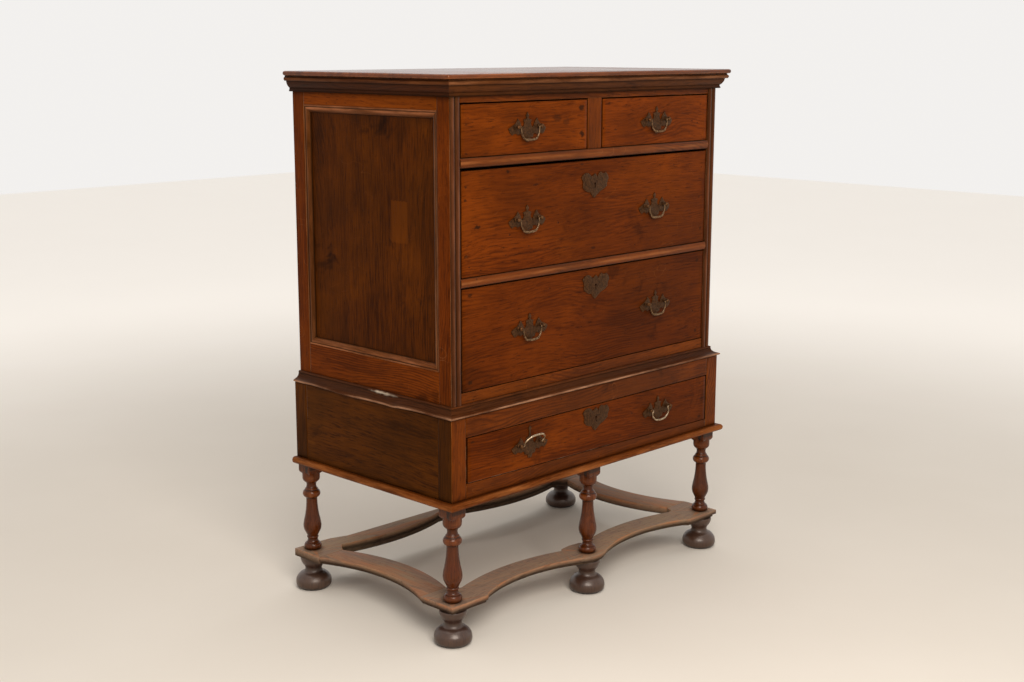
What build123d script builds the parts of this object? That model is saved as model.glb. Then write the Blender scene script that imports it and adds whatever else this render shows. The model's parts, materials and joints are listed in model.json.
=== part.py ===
from build123d import *
import os
from math import radians, tan

os.makedirs("parts", exist_ok=True)

# A tall chest of drawers on a stand, with turned legs, shaped stretchers and bun feet.
# Millimetres.  +X is to the viewer's right, +Y to the back, +Z up.  Everything is drawn
# with y = 0 on the front face of the upper case; save() then moves it by FRAME_SHIFT, so
# that the origin lies on the floor under the middle of the whole piece.
FRAME_SHIFT = -230.2

# ---------------------------------------------------------------- driving dimensions
CASE_HALF = 420.0          # half the width of the upper case
CASE_DEPTH = 483.0
CASE_BOTTOM = 475.0        # upper case stands on the stand here
CASE_TOP = 1135.0          # underside of the top board
TOP_THICK = 10.0
TOP_OVERHANG = 26.5

FRAME_THICK = 26.0         # side frames, stiles and rails
STILE_FRONT = 36.0
STILE_BACK = 37.0
SIDE_RAIL_TOP = 1075.5     # lower edge of the top side rail
SIDE_RAIL_BOTTOM = 563.0   # upper edge of the bottom side rail
PANEL_RECESS = 8.0
PANEL_THICK = 8.0
GROOVE = 6.0
TENON_LENGTH = 24.0
TENON_THICK = 8.0

OPENING_HALF = CASE_HALF - FRAME_THICK
RAIL_DEPTH = 24.0
DIVIDER_DEPTH = 60.0
TOP_RAIL_Z = 1090.0                    # lower edge of the top front rail
UPPER_DIVIDER = (965.5, 984.5)
LOWER_DIVIDER = (731.7, 750.0)
BOTTOM_RAIL_Z = 520.5                  # upper edge of the bottom front rail
MUNTIN_HALF = 21.5
BEAD_RISE = 4.0
CORNICE_DROP = 33.0                    # height of the moulding under the top board
WAIST_TOP = 498.0
BACK_BOARD_THICK = 12.0
RUNNER_THICK = 16.0
RUNNER_WIDTH = 22.0

STAND_HALF = 436.0
STAND_FRONT = -16.0
STAND_TOP = CASE_BOTTOM
FRIEZE_BOTTOM = 306.0
POST = 40.0
STAND_BOARD = 18.0
STAND_BACK_SET = 2.0       # back board in from the back of the posts
STAND_RAIL_DEPTH = 26.0
STAND_UPPER_RAIL_Z = 433.5
STAND_RUNNER_TOP = 340.0
BASE_THICK = 15.0
BASE_NOSE = 13.4
BASE_INNER = 50.0
BASE_BOTTOM = FRIEZE_BOTTOM - BASE_THICK

LEG_X = 414.0
LEG_FRONT_Y = 7.0
LEG_BACK_Y = 462.4
LEG_BLOCK = 39.0
LEG_BLOCK_BOTTOM = 264.0
LEG_PIN_TOP = 321.0
LEG_PIN_R = 9.0
FOOT_PIN_R = 8.0
FOOT_PIN_BOTTOM = 51.0
PIN_CLEARANCE = 0.05
STRETCHER_TOP = 90.0
STRETCHER_BOTTOM = 73.0
STRETCHER_LIP = 10.0
STRETCHER_UNDERCUT = 6.0
BACK_STRETCHER_BOTTOM = 66.0
STRETCHER_TIP_X = 443.0
STRETCHER_FRONT_Y = -22.0
STRETCHER_BACK_Y = 491.4
SIDE_JOINT_FRONT = 73.0    # where the side stretchers butt against the front one
SIDE_JOINT_BACK = 405.0

DRAWER_FRONT_THICK = 20.0
DRAWER_SIDE = 10.0
DRAWER_LAP = 6.0           # wood left in front of the dovetails
DRAWER_BOTTOM_THICK = 8.0
DRAWER_BOTTOM_RISE = 6.0
DRAWER_GROOVE = 5.0
DRAWER_LENGTH = 452.0
DRAWER_SIDE_DROP = 12.0    # sides stop this far below the top of the front
DRAWER_LIFT = 0.5          # clearance between box and runner
DOVETAIL_PITCH = 48.0

POST_HALF_SPACING = 33.5   # half the distance between the two posts of a handle
PLATE_THICK = 1.5
PIVOT_REACH = 8.0          # pivot axis in front of the plate
BALL_R = 4.6
SHANK_R = 2.5
BORE_LENGTH = 20.0         # shank holes are cut right through plate and nut
NUT = 9.0
NUT_THICK = 3.0
BAIL_WIRE_R = 2.1
BAIL_HALF = 26.3
BAIL_DROP = 27.0
PIVOT_R = 1.5
PIVOT_CLEARANCE = 0.05
LOCK_WIDTH = 60.0
LOCK_HEIGHT = 44.0
LOCK_DEPTH = 11.0
LOCK_SINK = 8.0
LOCK_WALL = 2.0
LOCK_DROP = 2.0            # middle of the lock below the keyhole
BOLT_HALF = 12.0
BOLT_LENGTH = 15.5
BOLT_GAP = 0.2
KEY_PIN_R = 1.2
KEY_PIN_RISE = 3.0

# Drawers: x range, z range of the front, face plane, and handles as (x, z, raised angle).
# The bottom edge of the stand drawer runs down from left to right.
SHORT_Z = (985.5, 1088.0)
UPPER_Z = (751.0, 962.5)
LOWER_Z = (522.0, 730.0)
STAND_Z = (339.0, 432.3)
STAND_SLOPE = 13.0
LONG_HALF = 391.5
STAND_DRAWER_HALF = 393.0
SHORT_INNER = 24.0
RAISED_BAIL = 148.0

HANDLES = {
    "short_left_bail": (-206.0, 1039.0, 0.0),
    "short_right_bail": (206.0, 1039.0, 0.0),
    "upper_left_bail": (-206.0, 854.0, 0.0),
    "upper_right_bail": (204.0, 850.0, 0.0),
    "lower_left_bail": (-198.0, 630.0, 0.0),
    "lower_right_bail": (214.0, 629.0, 0.0),
    "stand_left_bail": (-212.8, 387.5, RAISED_BAIL),
    "stand_right_bail": (211.5, 387.0, 0.0),
}
UPPER_ESCUTCHEON = (2.0, 908.0)
LOWER_ESCUTCHEON = (8.5, 690.0)
STAND_ESCUTCHEON = (-4.0, 402.0)


# ---------------------------------------------------------------- helpers
def block(x, y, z):
    """Box between three (low, high) pairs."""
    size = [high - low for low, high in (x, y, z)]
    centre = [(low + high) / 2 for low, high in (x, y, z)]
    return Pos(*centre) * Box(*size)


def outline(start, *steps):
    """Closed face.  A point is a straight edge to it, two points are an arc through the
    first to the second, and more points are a smooth curve through them all."""
    edges = []
    here = start
    for step in steps:
        if not isinstance(step[0], tuple):
            edges.append(Line(here, step))
            here = step
        elif len(step) == 2:
            edges.append(ThreePointArc(here, step[0], step[1]))
            here = step[1]
        else:
            edges.append(Spline(here, *step))
            here = step[-1]
    if here != start:
        edges.append(Line(here, start))
    return make_face(edges)


def mirrored(solid):
    """The solid and its mirror image across the middle of the chest."""
    return [solid, mirror(solid, about=Plane.YZ)]


def plan_prism(points, low, high):
    """Upright prism with a plan outline of straight edges."""
    return Pos(0, 0, low) * extrude(make_face(Polyline(*points, close=True)), amount=high - low)


def turned(profile):
    """Solid of revolution about Z from a face drawn as (radius, height)."""
    return revolve(Plane.XZ * profile, Axis.Z)


def along(profile, origin, outward, length):
    """Moulding run: the profile is drawn as (distance outward, height)."""
    normal = Vector(*outward).cross(Vector(0, 0, 1))
    plane = Plane(origin=origin, x_dir=outward, z_dir=normal)
    return extrude(plane * profile, amount=length)


def three_sided(profile, half, front, back, z):
    """Front and side runs of a moulding, mitred at the two front corners."""
    box = profile.bounding_box()
    low, high = z + box.min.Y - 1, z + box.max.Y + 1
    inner, outer = box.min.X, box.max.X
    corner_out = (half + outer, front - outer)
    corner_in = (half + inner, front - inner)
    front_plan = [(-corner_out[0], corner_out[1]), corner_out, corner_in, (-corner_in[0], corner_in[1])]
    side_plan = [corner_out, corner_in, (corner_in[0], back), (corner_out[0], back)]
    span = 2 * (half + outer)
    front_run = along(profile, (half + outer, front, z), (0, -1, 0), span)
    side_run = along(profile, (half, back, z), (1, 0, 0), back - front + outer)
    front_run &= plan_prism(front_plan, low, high)
    side_run &= plan_prism(side_plan, low, high)
    return [front_run] + mirrored(side_run)


def save(node, *solids):
    """Write one node, whose solids stay separate, moved into the shared frame."""
    moved = [Pos(0, FRAME_SHIFT, 0) * solid for solid in solids]
    if len(moved) == 1:
        export_step(moved[0], f"parts/{node}.step")
    else:
        export_step(Compound(children=moved), f"parts/{node}.step")


# ---------------------------------------------------------------- top and cornice
def top_board():
    half = CASE_HALF + TOP_OVERHANG
    board = block((-half, half), (-TOP_OVERHANG, CASE_DEPTH), (CASE_TOP, CASE_TOP + TOP_THICK))
    nose = [edge for edge in board.edges().filter_by(Axis.X) if edge.center().Y < 0]
    nose += board.edges().filter_by(Axis.Y)
    return fillet(nose, TOP_THICK * 0.45)


def cornice_moulding():
    """Quirk, ovolo, soffit, cavetto and fillet, from the top down."""
    profile = outline(
        (0, 0),
        (19, 0),
        (19, -2.5),
        ((22, -6), (20.5, -10)),
        (15.5, -11),
        ((12.5, -20), (7, -26)),
        (9, -31.5),
        (7, -CORNICE_DROP),
        (0, -CORNICE_DROP),
    )
    return three_sided(profile, CASE_HALF, 0, CASE_DEPTH, CASE_TOP)


# ---------------------------------------------------------------- framed sides
def side_panel():
    outer = CASE_HALF - PANEL_RECESS
    return block(
        (outer - PANEL_THICK, outer),
        (STILE_FRONT - GROOVE, CASE_DEPTH - STILE_BACK + GROOVE),
        (SIDE_RAIL_BOTTOM - GROOVE, SIDE_RAIL_TOP + GROOVE),
    )


def side_frame():
    """Two stiles with mortises and two rails with tenons, grooved for the panel."""
    x = (OPENING_HALF, CASE_HALF)
    back_stile_y = CASE_DEPTH - STILE_BACK
    middle = (x[0] + x[1]) / 2
    tenon_x = (middle - TENON_THICK / 2, middle + TENON_THICK / 2)
    tenon_y = (STILE_FRONT - TENON_LENGTH, back_stile_y + TENON_LENGTH)
    rebate = block(
        (0, OPENING_HALF + 10),
        (CASE_DEPTH - BACK_BOARD_THICK, CASE_DEPTH),
        (CASE_BOTTOM, CASE_TOP),
    )
    stiles = [
        block(x, (0, STILE_FRONT), (CASE_BOTTOM, CASE_TOP)),
        block(x, (back_stile_y, CASE_DEPTH), (CASE_BOTTOM, CASE_TOP)) - rebate,
    ]
    rails = []
    for z, shoulder in (((SIDE_RAIL_TOP, CASE_TOP), (15, 10)), ((CASE_BOTTOM, SIDE_RAIL_BOTTOM), (10, 18))):
        tenon = block(tenon_x, tenon_y, (z[0] + shoulder[0], z[1] - shoulder[1]))
        rail = block(x, (STILE_FRONT, back_stile_y), z) + tenon
        rails.append(rail)
        stiles = [stile - tenon for stile in stiles]
    panel = side_panel()
    return [piece - panel for piece in stiles + rails]


def panel_moulding():
    """Four mitred lengths of ovolo planted round the inside of the frame."""
    width = 15.5
    profile = outline(
        (0, 0),
        (0, PANEL_RECESS),
        (3, PANEL_RECESS),
        (3.8, PANEL_RECESS - 1.2),
        ((10.6, 6.0), (13.5, 2.2)),
        (width, 1.8),
        (width, 0),
    )
    y0, y1 = STILE_FRONT, CASE_DEPTH - STILE_BACK
    z0, z1 = SIDE_RAIL_BOTTOM, SIDE_RAIL_TOP
    face = CASE_HALF - PANEL_RECESS
    corners = [(y0, z0), (y1, z0), (y1, z1), (y0, z1)]
    inner = [(y0 + width, z0 + width), (y1 - width, z0 + width)]
    inner += [(y1 - width, z1 - width), (y0 + width, z1 - width)]
    inward = [(0, 0, 1), (0, -1, 0), (0, 0, -1), (0, 1, 0)]
    lengths = []
    for i in range(4):
        start, end = corners[i], corners[(i + 1) % 4]
        run = abs(end[0] - start[0]) + abs(end[1] - start[1])
        direction = Vector(*inward[i]).cross(Vector(1, 0, 0))
        plane = Plane(origin=(face, *start), x_dir=inward[i], z_dir=direction)
        length = extrude(plane * profile, amount=run)
        wedge = make_face(Polyline(start, end, inner[(i + 1) % 4], inner[i], close=True))
        wedge = extrude(Pos(face - 1, 0, 0) * (Plane.YZ * wedge), amount=PANEL_RECESS + 2)
        lengths.append(length & wedge)
    return lengths


# ---------------------------------------------------------------- upper case front and inside
def front_rails():
    x = (-OPENING_HALF, OPENING_HALF)
    y = (0, RAIL_DEPTH)
    return [block(x, y, (TOP_RAIL_Z, CASE_TOP)), block(x, y, (CASE_BOTTOM, BOTTOM_RAIL_Z))]


def divider_rails():
    x = (-OPENING_HALF, OPENING_HALF)
    return [block(x, (0, DIVIDER_DEPTH), z) for z in (UPPER_DIVIDER, LOWER_DIVIDER)]


def bead_mouldings():
    """Double beads on the front stiles and a single bead on each divider."""
    quirk = -0.9
    middle = (OPENING_HALF + CASE_HALF) / 2
    double = outline(
        (OPENING_HALF, 0),
        (OPENING_HALF, quirk),
        ((OPENING_HALF + 6.3, -BEAD_RISE), (middle - 0.4, quirk)),
        (middle + 0.4, quirk),
        ((CASE_HALF - 6.3, -BEAD_RISE), (CASE_HALF, quirk)),
        (CASE_HALF, 0),
    )
    bottom, top = WAIST_TOP, CASE_TOP - CORNICE_DROP
    beads = mirrored(Pos(0, 0, bottom) * extrude(double, amount=top - bottom))
    for low, high in (UPPER_DIVIDER, LOWER_DIVIDER):
        half = (high - low) / 2
        single = outline((0, -half), (-quirk, -half), ((BEAD_RISE, 0), (-quirk, half)), (0, half))
        start = (OPENING_HALF, 0, (low + high) / 2)
        beads.append(along(single, start, (0, -1, 0), 2 * OPENING_HALF))
    return beads


def short_drawer_muntin():
    """Upright between the two short drawers."""
    return block((-MUNTIN_HALF, MUNTIN_HALF), (0, RAIL_DEPTH), (UPPER_DIVIDER[1], TOP_RAIL_Z))


def upper_runners():
    """Side runners for the three tiers, and a middle runner with its guide."""
    back = CASE_DEPTH - BACK_BOARD_THICK
    pieces = []
    x = (OPENING_HALF - RUNNER_WIDTH, OPENING_HALF)
    tiers = [
        (BOTTOM_RAIL_Z, RAIL_DEPTH),
        (LOWER_DIVIDER[1], DIVIDER_DEPTH),
        (UPPER_DIVIDER[1], DIVIDER_DEPTH),
    ]
    for top, start in tiers:
        pieces += mirrored(block(x, (start, back), (top - RUNNER_THICK, top)))
    top = UPPER_DIVIDER[1]
    runner = block((-46, 46), (DIVIDER_DEPTH, back), (top - RUNNER_THICK, top))
    guide = block((-SHORT_INNER + 3, SHORT_INNER - 3), (DIVIDER_DEPTH, back), (top, top + 14))
    return pieces + [runner, guide]


def back_boards():
    count = 3
    gap = 1.0
    half = OPENING_HALF + 10 - 0.5
    pitch = (CASE_TOP - CASE_BOTTOM) / count
    y = (CASE_DEPTH - BACK_BOARD_THICK, CASE_DEPTH)
    lows = [CASE_BOTTOM + i * pitch for i in range(count)]
    return [block((-half, half), y, (low, low + pitch - gap)) for low in lows]


def bottom_boards():
    """Three boards with their grain from front to back, under the lowest drawer."""
    count = 3
    gap = 1.0
    pitch = 2 * OPENING_HALF / count
    y = (RAIL_DEPTH, CASE_DEPTH - BACK_BOARD_THICK)
    z = (CASE_BOTTOM + 12, CASE_BOTTOM + 22)
    lows = [-OPENING_HALF + i * pitch for i in range(count)]
    return [block((low, low + pitch - gap), y, z) for low in lows]


# ---------------------------------------------------------------- stand
def waist_moulding():
    """Bead, cavetto and lip that hide the joint between the case and its stand."""
    drop = WAIST_TOP - CASE_BOTTOM
    profile = outline(
        (0, 0),
        (2, 0),
        ((4.6, -1.61), (4.4, -4.6)),
        ((6.8, -10.6), (12, -14.6)),
        (19.6, -17.4),
        ((21.2, -19.4), (19.6, -21.4)),
        (16, -drop),
        (0, -drop),
    )
    return three_sided(profile, CASE_HALF, 0, CASE_DEPTH, WAIST_TOP)


def leg_places():
    """Leg centres by name."""
    return {
        "front_left": (-LEG_X, LEG_FRONT_Y),
        "front_middle": (0.0, LEG_FRONT_Y),
        "front_right": (LEG_X, LEG_FRONT_Y),
        "back_left": (-LEG_X, LEG_BACK_Y),
        "back_right": (LEG_X, LEG_BACK_Y),
    }


def pin_bores(radius, low, high):
    """Cylinders to cut at every leg, a little larger than the pins they hold."""
    height = high - low
    centres = leg_places().values()
    return [Pos(x, y, (low + high) / 2) * Cylinder(radius + PIN_CLEARANCE, height) for x, y in centres]


def bored(solid, bores):
    for bore in bores:
        solid -= bore
    return solid


def stand_posts():
    bores = pin_bores(LEG_PIN_R, FRIEZE_BOTTOM, LEG_PIN_TOP + 1)
    x = (STAND_HALF - POST, STAND_HALF)
    z = (FRIEZE_BOTTOM, STAND_TOP)
    posts = []
    for y in ((STAND_FRONT, STAND_FRONT + POST), (CASE_DEPTH - POST, CASE_DEPTH)):
        posts += mirrored(block(x, y, z))
    return [bored(post, bores) for post in posts]


def stand_side_boards():
    x = (STAND_HALF - STAND_BOARD, STAND_HALF)
    y = (STAND_FRONT + POST, CASE_DEPTH - POST)
    return mirrored(block(x, y, (FRIEZE_BOTTOM, STAND_TOP)))


def stand_back_board():
    half = STAND_HALF - POST
    y = (CASE_DEPTH - STAND_BOARD - STAND_BACK_SET, CASE_DEPTH - STAND_BACK_SET)
    return block((-half, half), y, (FRIEZE_BOTTOM, STAND_TOP))


def stand_slope(x):
    """Height of the stand drawer's lower edge."""
    return STAND_Z[0] - STAND_SLOPE * (x + STAND_DRAWER_HALF) / (2 * STAND_DRAWER_HALF)


def upright_board(points, front, thickness):
    """Board whose face is a straight-edged outline in x and z."""
    face = Plane.XZ * make_face(Polyline(*points, close=True))
    return Pos(0, front, 0) * extrude(face, amount=-thickness)


def stand_front_rails():
    half = STAND_HALF - POST
    depth = (STAND_FRONT, STAND_FRONT + STAND_RAIL_DEPTH)
    upper = block((-half, half), depth, (STAND_UPPER_RAIL_Z, STAND_TOP))
    points = [
        (-half, FRIEZE_BOTTOM),
        (half, FRIEZE_BOTTOM),
        (half, stand_slope(half) - 1),
        (-half, stand_slope(-half) - 1),
    ]
    lower = upright_board(points, STAND_FRONT, POST)
    return [upper, bored(lower, pin_bores(LEG_PIN_R, FRIEZE_BOTTOM, LEG_PIN_TOP + 1))]


def stand_runners():
    """Rebated runners: the drawer side slides on the step, beside the guide."""
    y = (STAND_FRONT + POST, CASE_DEPTH - POST)
    outer = STAND_HALF - STAND_BOARD
    guide_face = STAND_HALF - POST
    step = block((guide_face - RUNNER_WIDTH, outer), y, (STAND_RUNNER_TOP - 18, STAND_RUNNER_TOP))
    guide = block((guide_face, outer), y, (STAND_RUNNER_TOP, STAND_RUNNER_TOP + 18))
    return mirrored(step + guide)


def base_moulding():
    """Mitred boards under the frieze, with a half-round nose."""
    radius = BASE_THICK / 2
    profile = outline(
        (-BASE_INNER, 0),
        (BASE_NOSE - radius, 0),
        ((BASE_NOSE, radius), (BASE_NOSE - radius, BASE_THICK)),
        (-BASE_INNER, BASE_THICK),
    )
    boards = three_sided(profile, STAND_HALF, STAND_FRONT, CASE_DEPTH, BASE_BOTTOM)
    bores = pin_bores(LEG_PIN_R, BASE_BOTTOM - 1, FRIEZE_BOTTOM + 1)
    return [bored(board, bores) for board in boards]


# ---------------------------------------------------------------- legs, feet and stretchers
def leg():
    """Square block, bell, neck, ring, vase, bead and base, with a pin at each end."""
    shaft = turned(outline(
        (0, FOOT_PIN_BOTTOM),
        (FOOT_PIN_R, FOOT_PIN_BOTTOM),
        (FOOT_PIN_R, STRETCHER_TOP),
        (16.5, STRETCHER_TOP),
        ((19.4, 98), (17.3, 104)),
        (14.5, 105),
        (14.5, 107),
        ((11.6, 110.5), (11.2, 115.5)),
        ((12.9, 118), (11.6, 121)),
        ((14.8, 128), (20, 144), (15.8, 170), (13.2, 190), (12.4, 208)),
        (13.4, 210.5),
        ((19.7, 219.5), (14.5, 229)),
        (14.5, 231),
        (11.8, 234),
        ((10.6, 240), (12.5, 246)),
        ((17.4, 250), (19.5, 257)),
        (19.5, LEG_BLOCK_BOTTOM + 1),
        (0, LEG_BLOCK_BOTTOM + 1),
    ))
    half = LEG_BLOCK / 2
    cap = block((-half, half), (-half, half), (LEG_BLOCK_BOTTOM, BASE_BOTTOM))
    pin = Pos(0, 0, (BASE_BOTTOM + LEG_PIN_TOP) / 2) * Cylinder(LEG_PIN_R, LEG_PIN_TOP - BASE_BOTTOM)
    return shaft + cap + pin


def bun_foot(top):
    """Flattened ball, neck and flared cup under the stretcher."""
    body = turned(outline(
        (0, 0),
        (31, 0),
        ((38.3, 7), (40, 15), (37.8, 24), (31, 32.5), (22.5, 37)),
        ((19.2, 41), (18.8, 48)),
        ((21, 52), (25.3, 58), (28.2, top - 7), (28.4, top - 2)),
        (27, top),
        (0, top),
    ))
    depth = top - FOOT_PIN_BOTTOM + 1
    bore = Pos(0, 0, top - depth / 2) * Cylinder(FOOT_PIN_R + PIN_CLEARANCE, depth)
    return body - bore


def symmetric(half_face, low, high):
    """Flat board from the outline of its right half."""
    half = Pos(0, 0, low) * extrude(half_face, amount=high - low)
    return half + mirror(half, about=Plane.YZ)


def front_stretcher_half(inset):
    """Right half of the front stretcher in plan; the inset pulls in its moulded edge."""
    tip_x = STRETCHER_TIP_X - inset
    front = STRETCHER_FRONT_Y + inset
    return outline(
        (0, front - 3),
        ((22, front - 1), (40, front + 7)),
        ((180, front + 39), (330, front + 10)),
        (341, front),
        (tip_x, front),
        (tip_x, SIDE_JOINT_FRONT),
        (371, SIDE_JOINT_FRONT),
        (360, 52),
        (347, 50),
        ((190, 75), (36, 50)),
        (30, 58),
        (0, 62),
    )


def back_stretcher_half(inset):
    """Right half of the back stretcher in plan; its moulded edge faces the front."""
    back = STRETCHER_BACK_Y
    return outline(
        (0, 447 + inset),
        (46, 445 + inset),
        ((190, 418 + inset), (352, 437 + inset)),
        (362, 425 + inset),
        (375, SIDE_JOINT_BACK),
        (STRETCHER_TIP_X, SIDE_JOINT_BACK),
        (STRETCHER_TIP_X, back),
        (375, back - 2),
        (346, back - 4),
        (305, 474),
        (0, 469),
    )


def front_stretcher():
    lip_z = STRETCHER_TOP - STRETCHER_LIP
    board = symmetric(front_stretcher_half(0), lip_z, STRETCHER_TOP)
    board += symmetric(front_stretcher_half(STRETCHER_UNDERCUT), STRETCHER_BOTTOM, lip_z)
    return bored(board, pin_bores(FOOT_PIN_R, STRETCHER_BOTTOM - 1, STRETCHER_TOP + 1))


def back_stretcher():
    """Thicker between the corner pads, with a groove along the middle of its front edge."""
    groove = (76.0, 80.0)
    board = symmetric(back_stretcher_half(0), groove[1], STRETCHER_TOP)
    board += symmetric(back_stretcher_half(3), groove[0], groove[1])
    board += symmetric(back_stretcher_half(0), STRETCHER_BOTTOM, groove[0])
    drop = symmetric(back_stretcher_half(0), BACK_STRETCHER_BOTTOM, STRETCHER_BOTTOM)
    reach = 360
    board += drop & block((-reach, reach), (400, 500), (BACK_STRETCHER_BOTTOM, STRETCHER_BOTTOM))
    return bored(board, pin_bores(FOOT_PIN_R, STRETCHER_BOTTOM - 1, STRETCHER_TOP + 1))


def side_stretcher():
    """Right-hand side stretcher, curved in plan on both edges."""
    layers = None
    lip_z = STRETCHER_TOP - STRETCHER_LIP
    middle = (SIDE_JOINT_FRONT + SIDE_JOINT_BACK) / 2
    for inset, low, high in ((0, lip_z, STRETCHER_TOP), (STRETCHER_UNDERCUT, STRETCHER_BOTTOM, lip_z)):
        tip = STRETCHER_TIP_X - inset
        plan = outline(
            (371, SIDE_JOINT_FRONT),
            (tip, SIDE_JOINT_FRONT),
            ((405 - inset, middle - 8), (tip, SIDE_JOINT_BACK)),
            (375, SIDE_JOINT_BACK),
            ((339, middle - 14), (371, SIDE_JOINT_FRONT)),
        )
        layer = Pos(0, 0, low) * extrude(plan, amount=high - low)
        layers = layer if layers is None else layers + layer
    return layers


# ---------------------------------------------------------------- drawers
def dovetailed_side(x, y0, back, z):
    """Drawer side with tails at its front end."""
    board = block(x, (y0 + DRAWER_FRONT_THICK, back), z)
    height = z[1] - z[0]
    count = max(2, round(height / DOVETAIL_PITCH))
    pitch = height / count
    wide = pitch * 0.36
    narrow = wide - (DRAWER_FRONT_THICK - DRAWER_LAP) * tan(radians(10))
    root = y0 + DRAWER_FRONT_THICK
    tip = y0 + DRAWER_LAP
    for i in range(count):
        centre = z[0] + (i + 0.5) * pitch
        points = [
            (root, centre - narrow),
            (tip, centre - wide),
            (tip, centre + wide),
            (root, centre + narrow),
        ]
        tail = extrude(Plane.YZ * make_face(Polyline(*points, close=True)), amount=x[1] - x[0])
        board += Pos(x[0], 0, 0) * tail
    return board


def drawer(front, x, y0, box_z, keyholes, lock_cuts, posts):
    """Front board and box of one drawer, cut for its bottom, dovetails, lock and posts."""
    back = y0 + DRAWER_LENGTH
    sides = [
        dovetailed_side((x[0], x[0] + DRAWER_SIDE), y0, back, box_z),
        dovetailed_side((x[1] - DRAWER_SIDE, x[1]), y0, back, box_z),
    ]
    bottom_z = box_z[0] + DRAWER_BOTTOM_RISE
    bottom = block(
        (x[0] + DRAWER_GROOVE, x[1] - DRAWER_GROOVE),
        (y0 + DRAWER_FRONT_THICK - 8, back),
        (bottom_z, bottom_z + DRAWER_BOTTOM_THICK),
    )
    back_board = block(
        (x[0] + DRAWER_SIDE, x[1] - DRAWER_SIDE),
        (back - DRAWER_SIDE, back),
        (bottom_z + DRAWER_BOTTOM_THICK, box_z[1] - 6),
    )
    for cut in sides + [bottom] + keyholes + lock_cuts + posts:
        front -= cut
    return front, [side - bottom for side in sides] + [bottom, back_board]


def front_facing(face, front, depth):
    """Plate from an outline in x and z, whose front surface lies at y = front."""
    return Pos(0, front, 0) * extrude(Plane.XZ * face, amount=-depth)


def keyhole(place, front, depth):
    """Round eye with a slot below it."""
    x, z = place
    eye = Pos(x, z + 3) * Circle(2.6)
    slot = Pos(x, z - 2) * Rectangle(2.2, 9)
    return front_facing(eye + slot, front, depth)


def plate_half(finial):
    """Right half of a bat-wing plate, from the spade finial down to the pendant."""
    return outline(
        (0, finial),
        (4.5, finial - 6.5),
        (2.2, finial - 11),
        (2.6, 15.5),
        ((7, 14), (12, 12.5)),
        ((9.6, 6), (12.5, 0)),
        ((14.5, -1.6), (17.5, 0)),
        ((20.4, 7), (28, 16)),
        ((33, 8), (42, 2.5)),
        (54, -3.5),
        ((50.5, -10.5), (43, -16.5)),
        ((35.5, -13.5), (27, -17)),
        ((20, -14.5), (16, -16)),
        ((15.5, -21), (10.7, -22.6)),
        (6, -23.5),
        ((5.6, -29), (0, -31)),
    )


def handle_plate(x, z, face, finial):
    half = plate_half(finial)
    half = front_facing(half, face - PLATE_THICK, PLATE_THICK)
    plate = half + mirror(half, about=Plane.YZ)
    for side in (-1, 1):
        bore = Rot(90, 0, 0) * Cylinder(SHANK_R + PIN_CLEARANCE, BORE_LENGTH)
        plate -= Pos(side * POST_HALF_SPACING, face, 0) * bore
    return Pos(x, 0, z) * plate


def handle_post(side, face):
    """Collar and ball head in front of the plate, shank through the drawer front and nut."""
    plate_front = face - PLATE_THICK
    pivot = plate_front - PIVOT_REACH
    inside = face + DRAWER_FRONT_THICK
    profile = outline(
        (0, pivot - BALL_R),
        ((BALL_R, pivot), (2.6, pivot + 3.8)),
        (2.6, plate_front - 2.2),
        (4.2, plate_front - 1.4),
        (4.2, plate_front),
        (SHANK_R, plate_front),
        (SHANK_R, inside + NUT_THICK + 2),
        (0, inside + NUT_THICK + 2),
    )
    post = revolve(profile, Axis.Y)
    socket_length = 2 * BALL_R
    socket = Rot(0, 90, 0) * Cylinder(PIVOT_R + PIVOT_CLEARANCE, socket_length)
    socket = Pos(-side * socket_length / 2, pivot, 0) * socket
    nut = block((-NUT / 2, NUT / 2), (inside, inside + NUT_THICK), (-NUT / 2, NUT / 2))
    nut -= Pos(0, inside, 0) * (Rot(90, 0, 0) * Cylinder(SHANK_R + PIN_CLEARANCE, BORE_LENGTH))
    place = Pos(side * POST_HALF_SPACING, 0, 0)
    return [place * (post - socket), place * nut]


def post_cuts(x, z, face):
    """Holes for the two shanks of a handle."""
    middle = face + DRAWER_FRONT_THICK / 2
    drill = Rot(90, 0, 0) * Cylinder(SHANK_R + PIN_CLEARANCE, DRAWER_FRONT_THICK + 2)
    return [Pos(x + side * POST_HALF_SPACING, middle, z) * drill for side in (-1, 1)]


def handle_brasses(x, z, face, finial):
    posts = handle_post(-1, face) + handle_post(1, face)
    return [handle_plate(x, z, face, finial)] + [Pos(x, 0, z) * piece for piece in posts]


def bail(x, z, raised, face):
    """Drop handle hanging between the post heads, raised about their axis."""
    path = FilletPolyline(
        (-BAIL_HALF, 0),
        (-BAIL_HALF + 0.8, -BAIL_DROP + 10),
        (-15, -BAIL_DROP),
        (15, -BAIL_DROP),
        (BAIL_HALF - 0.8, -BAIL_DROP + 10),
        (BAIL_HALF, 0),
        radius=8,
    )
    path = Plane.XZ * path
    wire = sweep(Plane(origin=path @ 0, z_dir=path % 0) * Circle(BAIL_WIRE_R), path=path)
    reach = POST_HALF_SPACING - 0.5
    for side in (-1, 1):
        wire += Pos(side * BAIL_HALF, 0, 0) * Sphere(BAIL_WIRE_R)
        length = reach - BAIL_HALF
        wire += Pos(side * (BAIL_HALF + reach) / 2, 0, 0) * (Rot(0, 90, 0) * Cylinder(PIVOT_R, length))
    pivot_y = face - PLATE_THICK - PIVOT_REACH
    return Pos(x, pivot_y, z) * (Rot(-raised, 0, 0) * wire)


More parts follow.
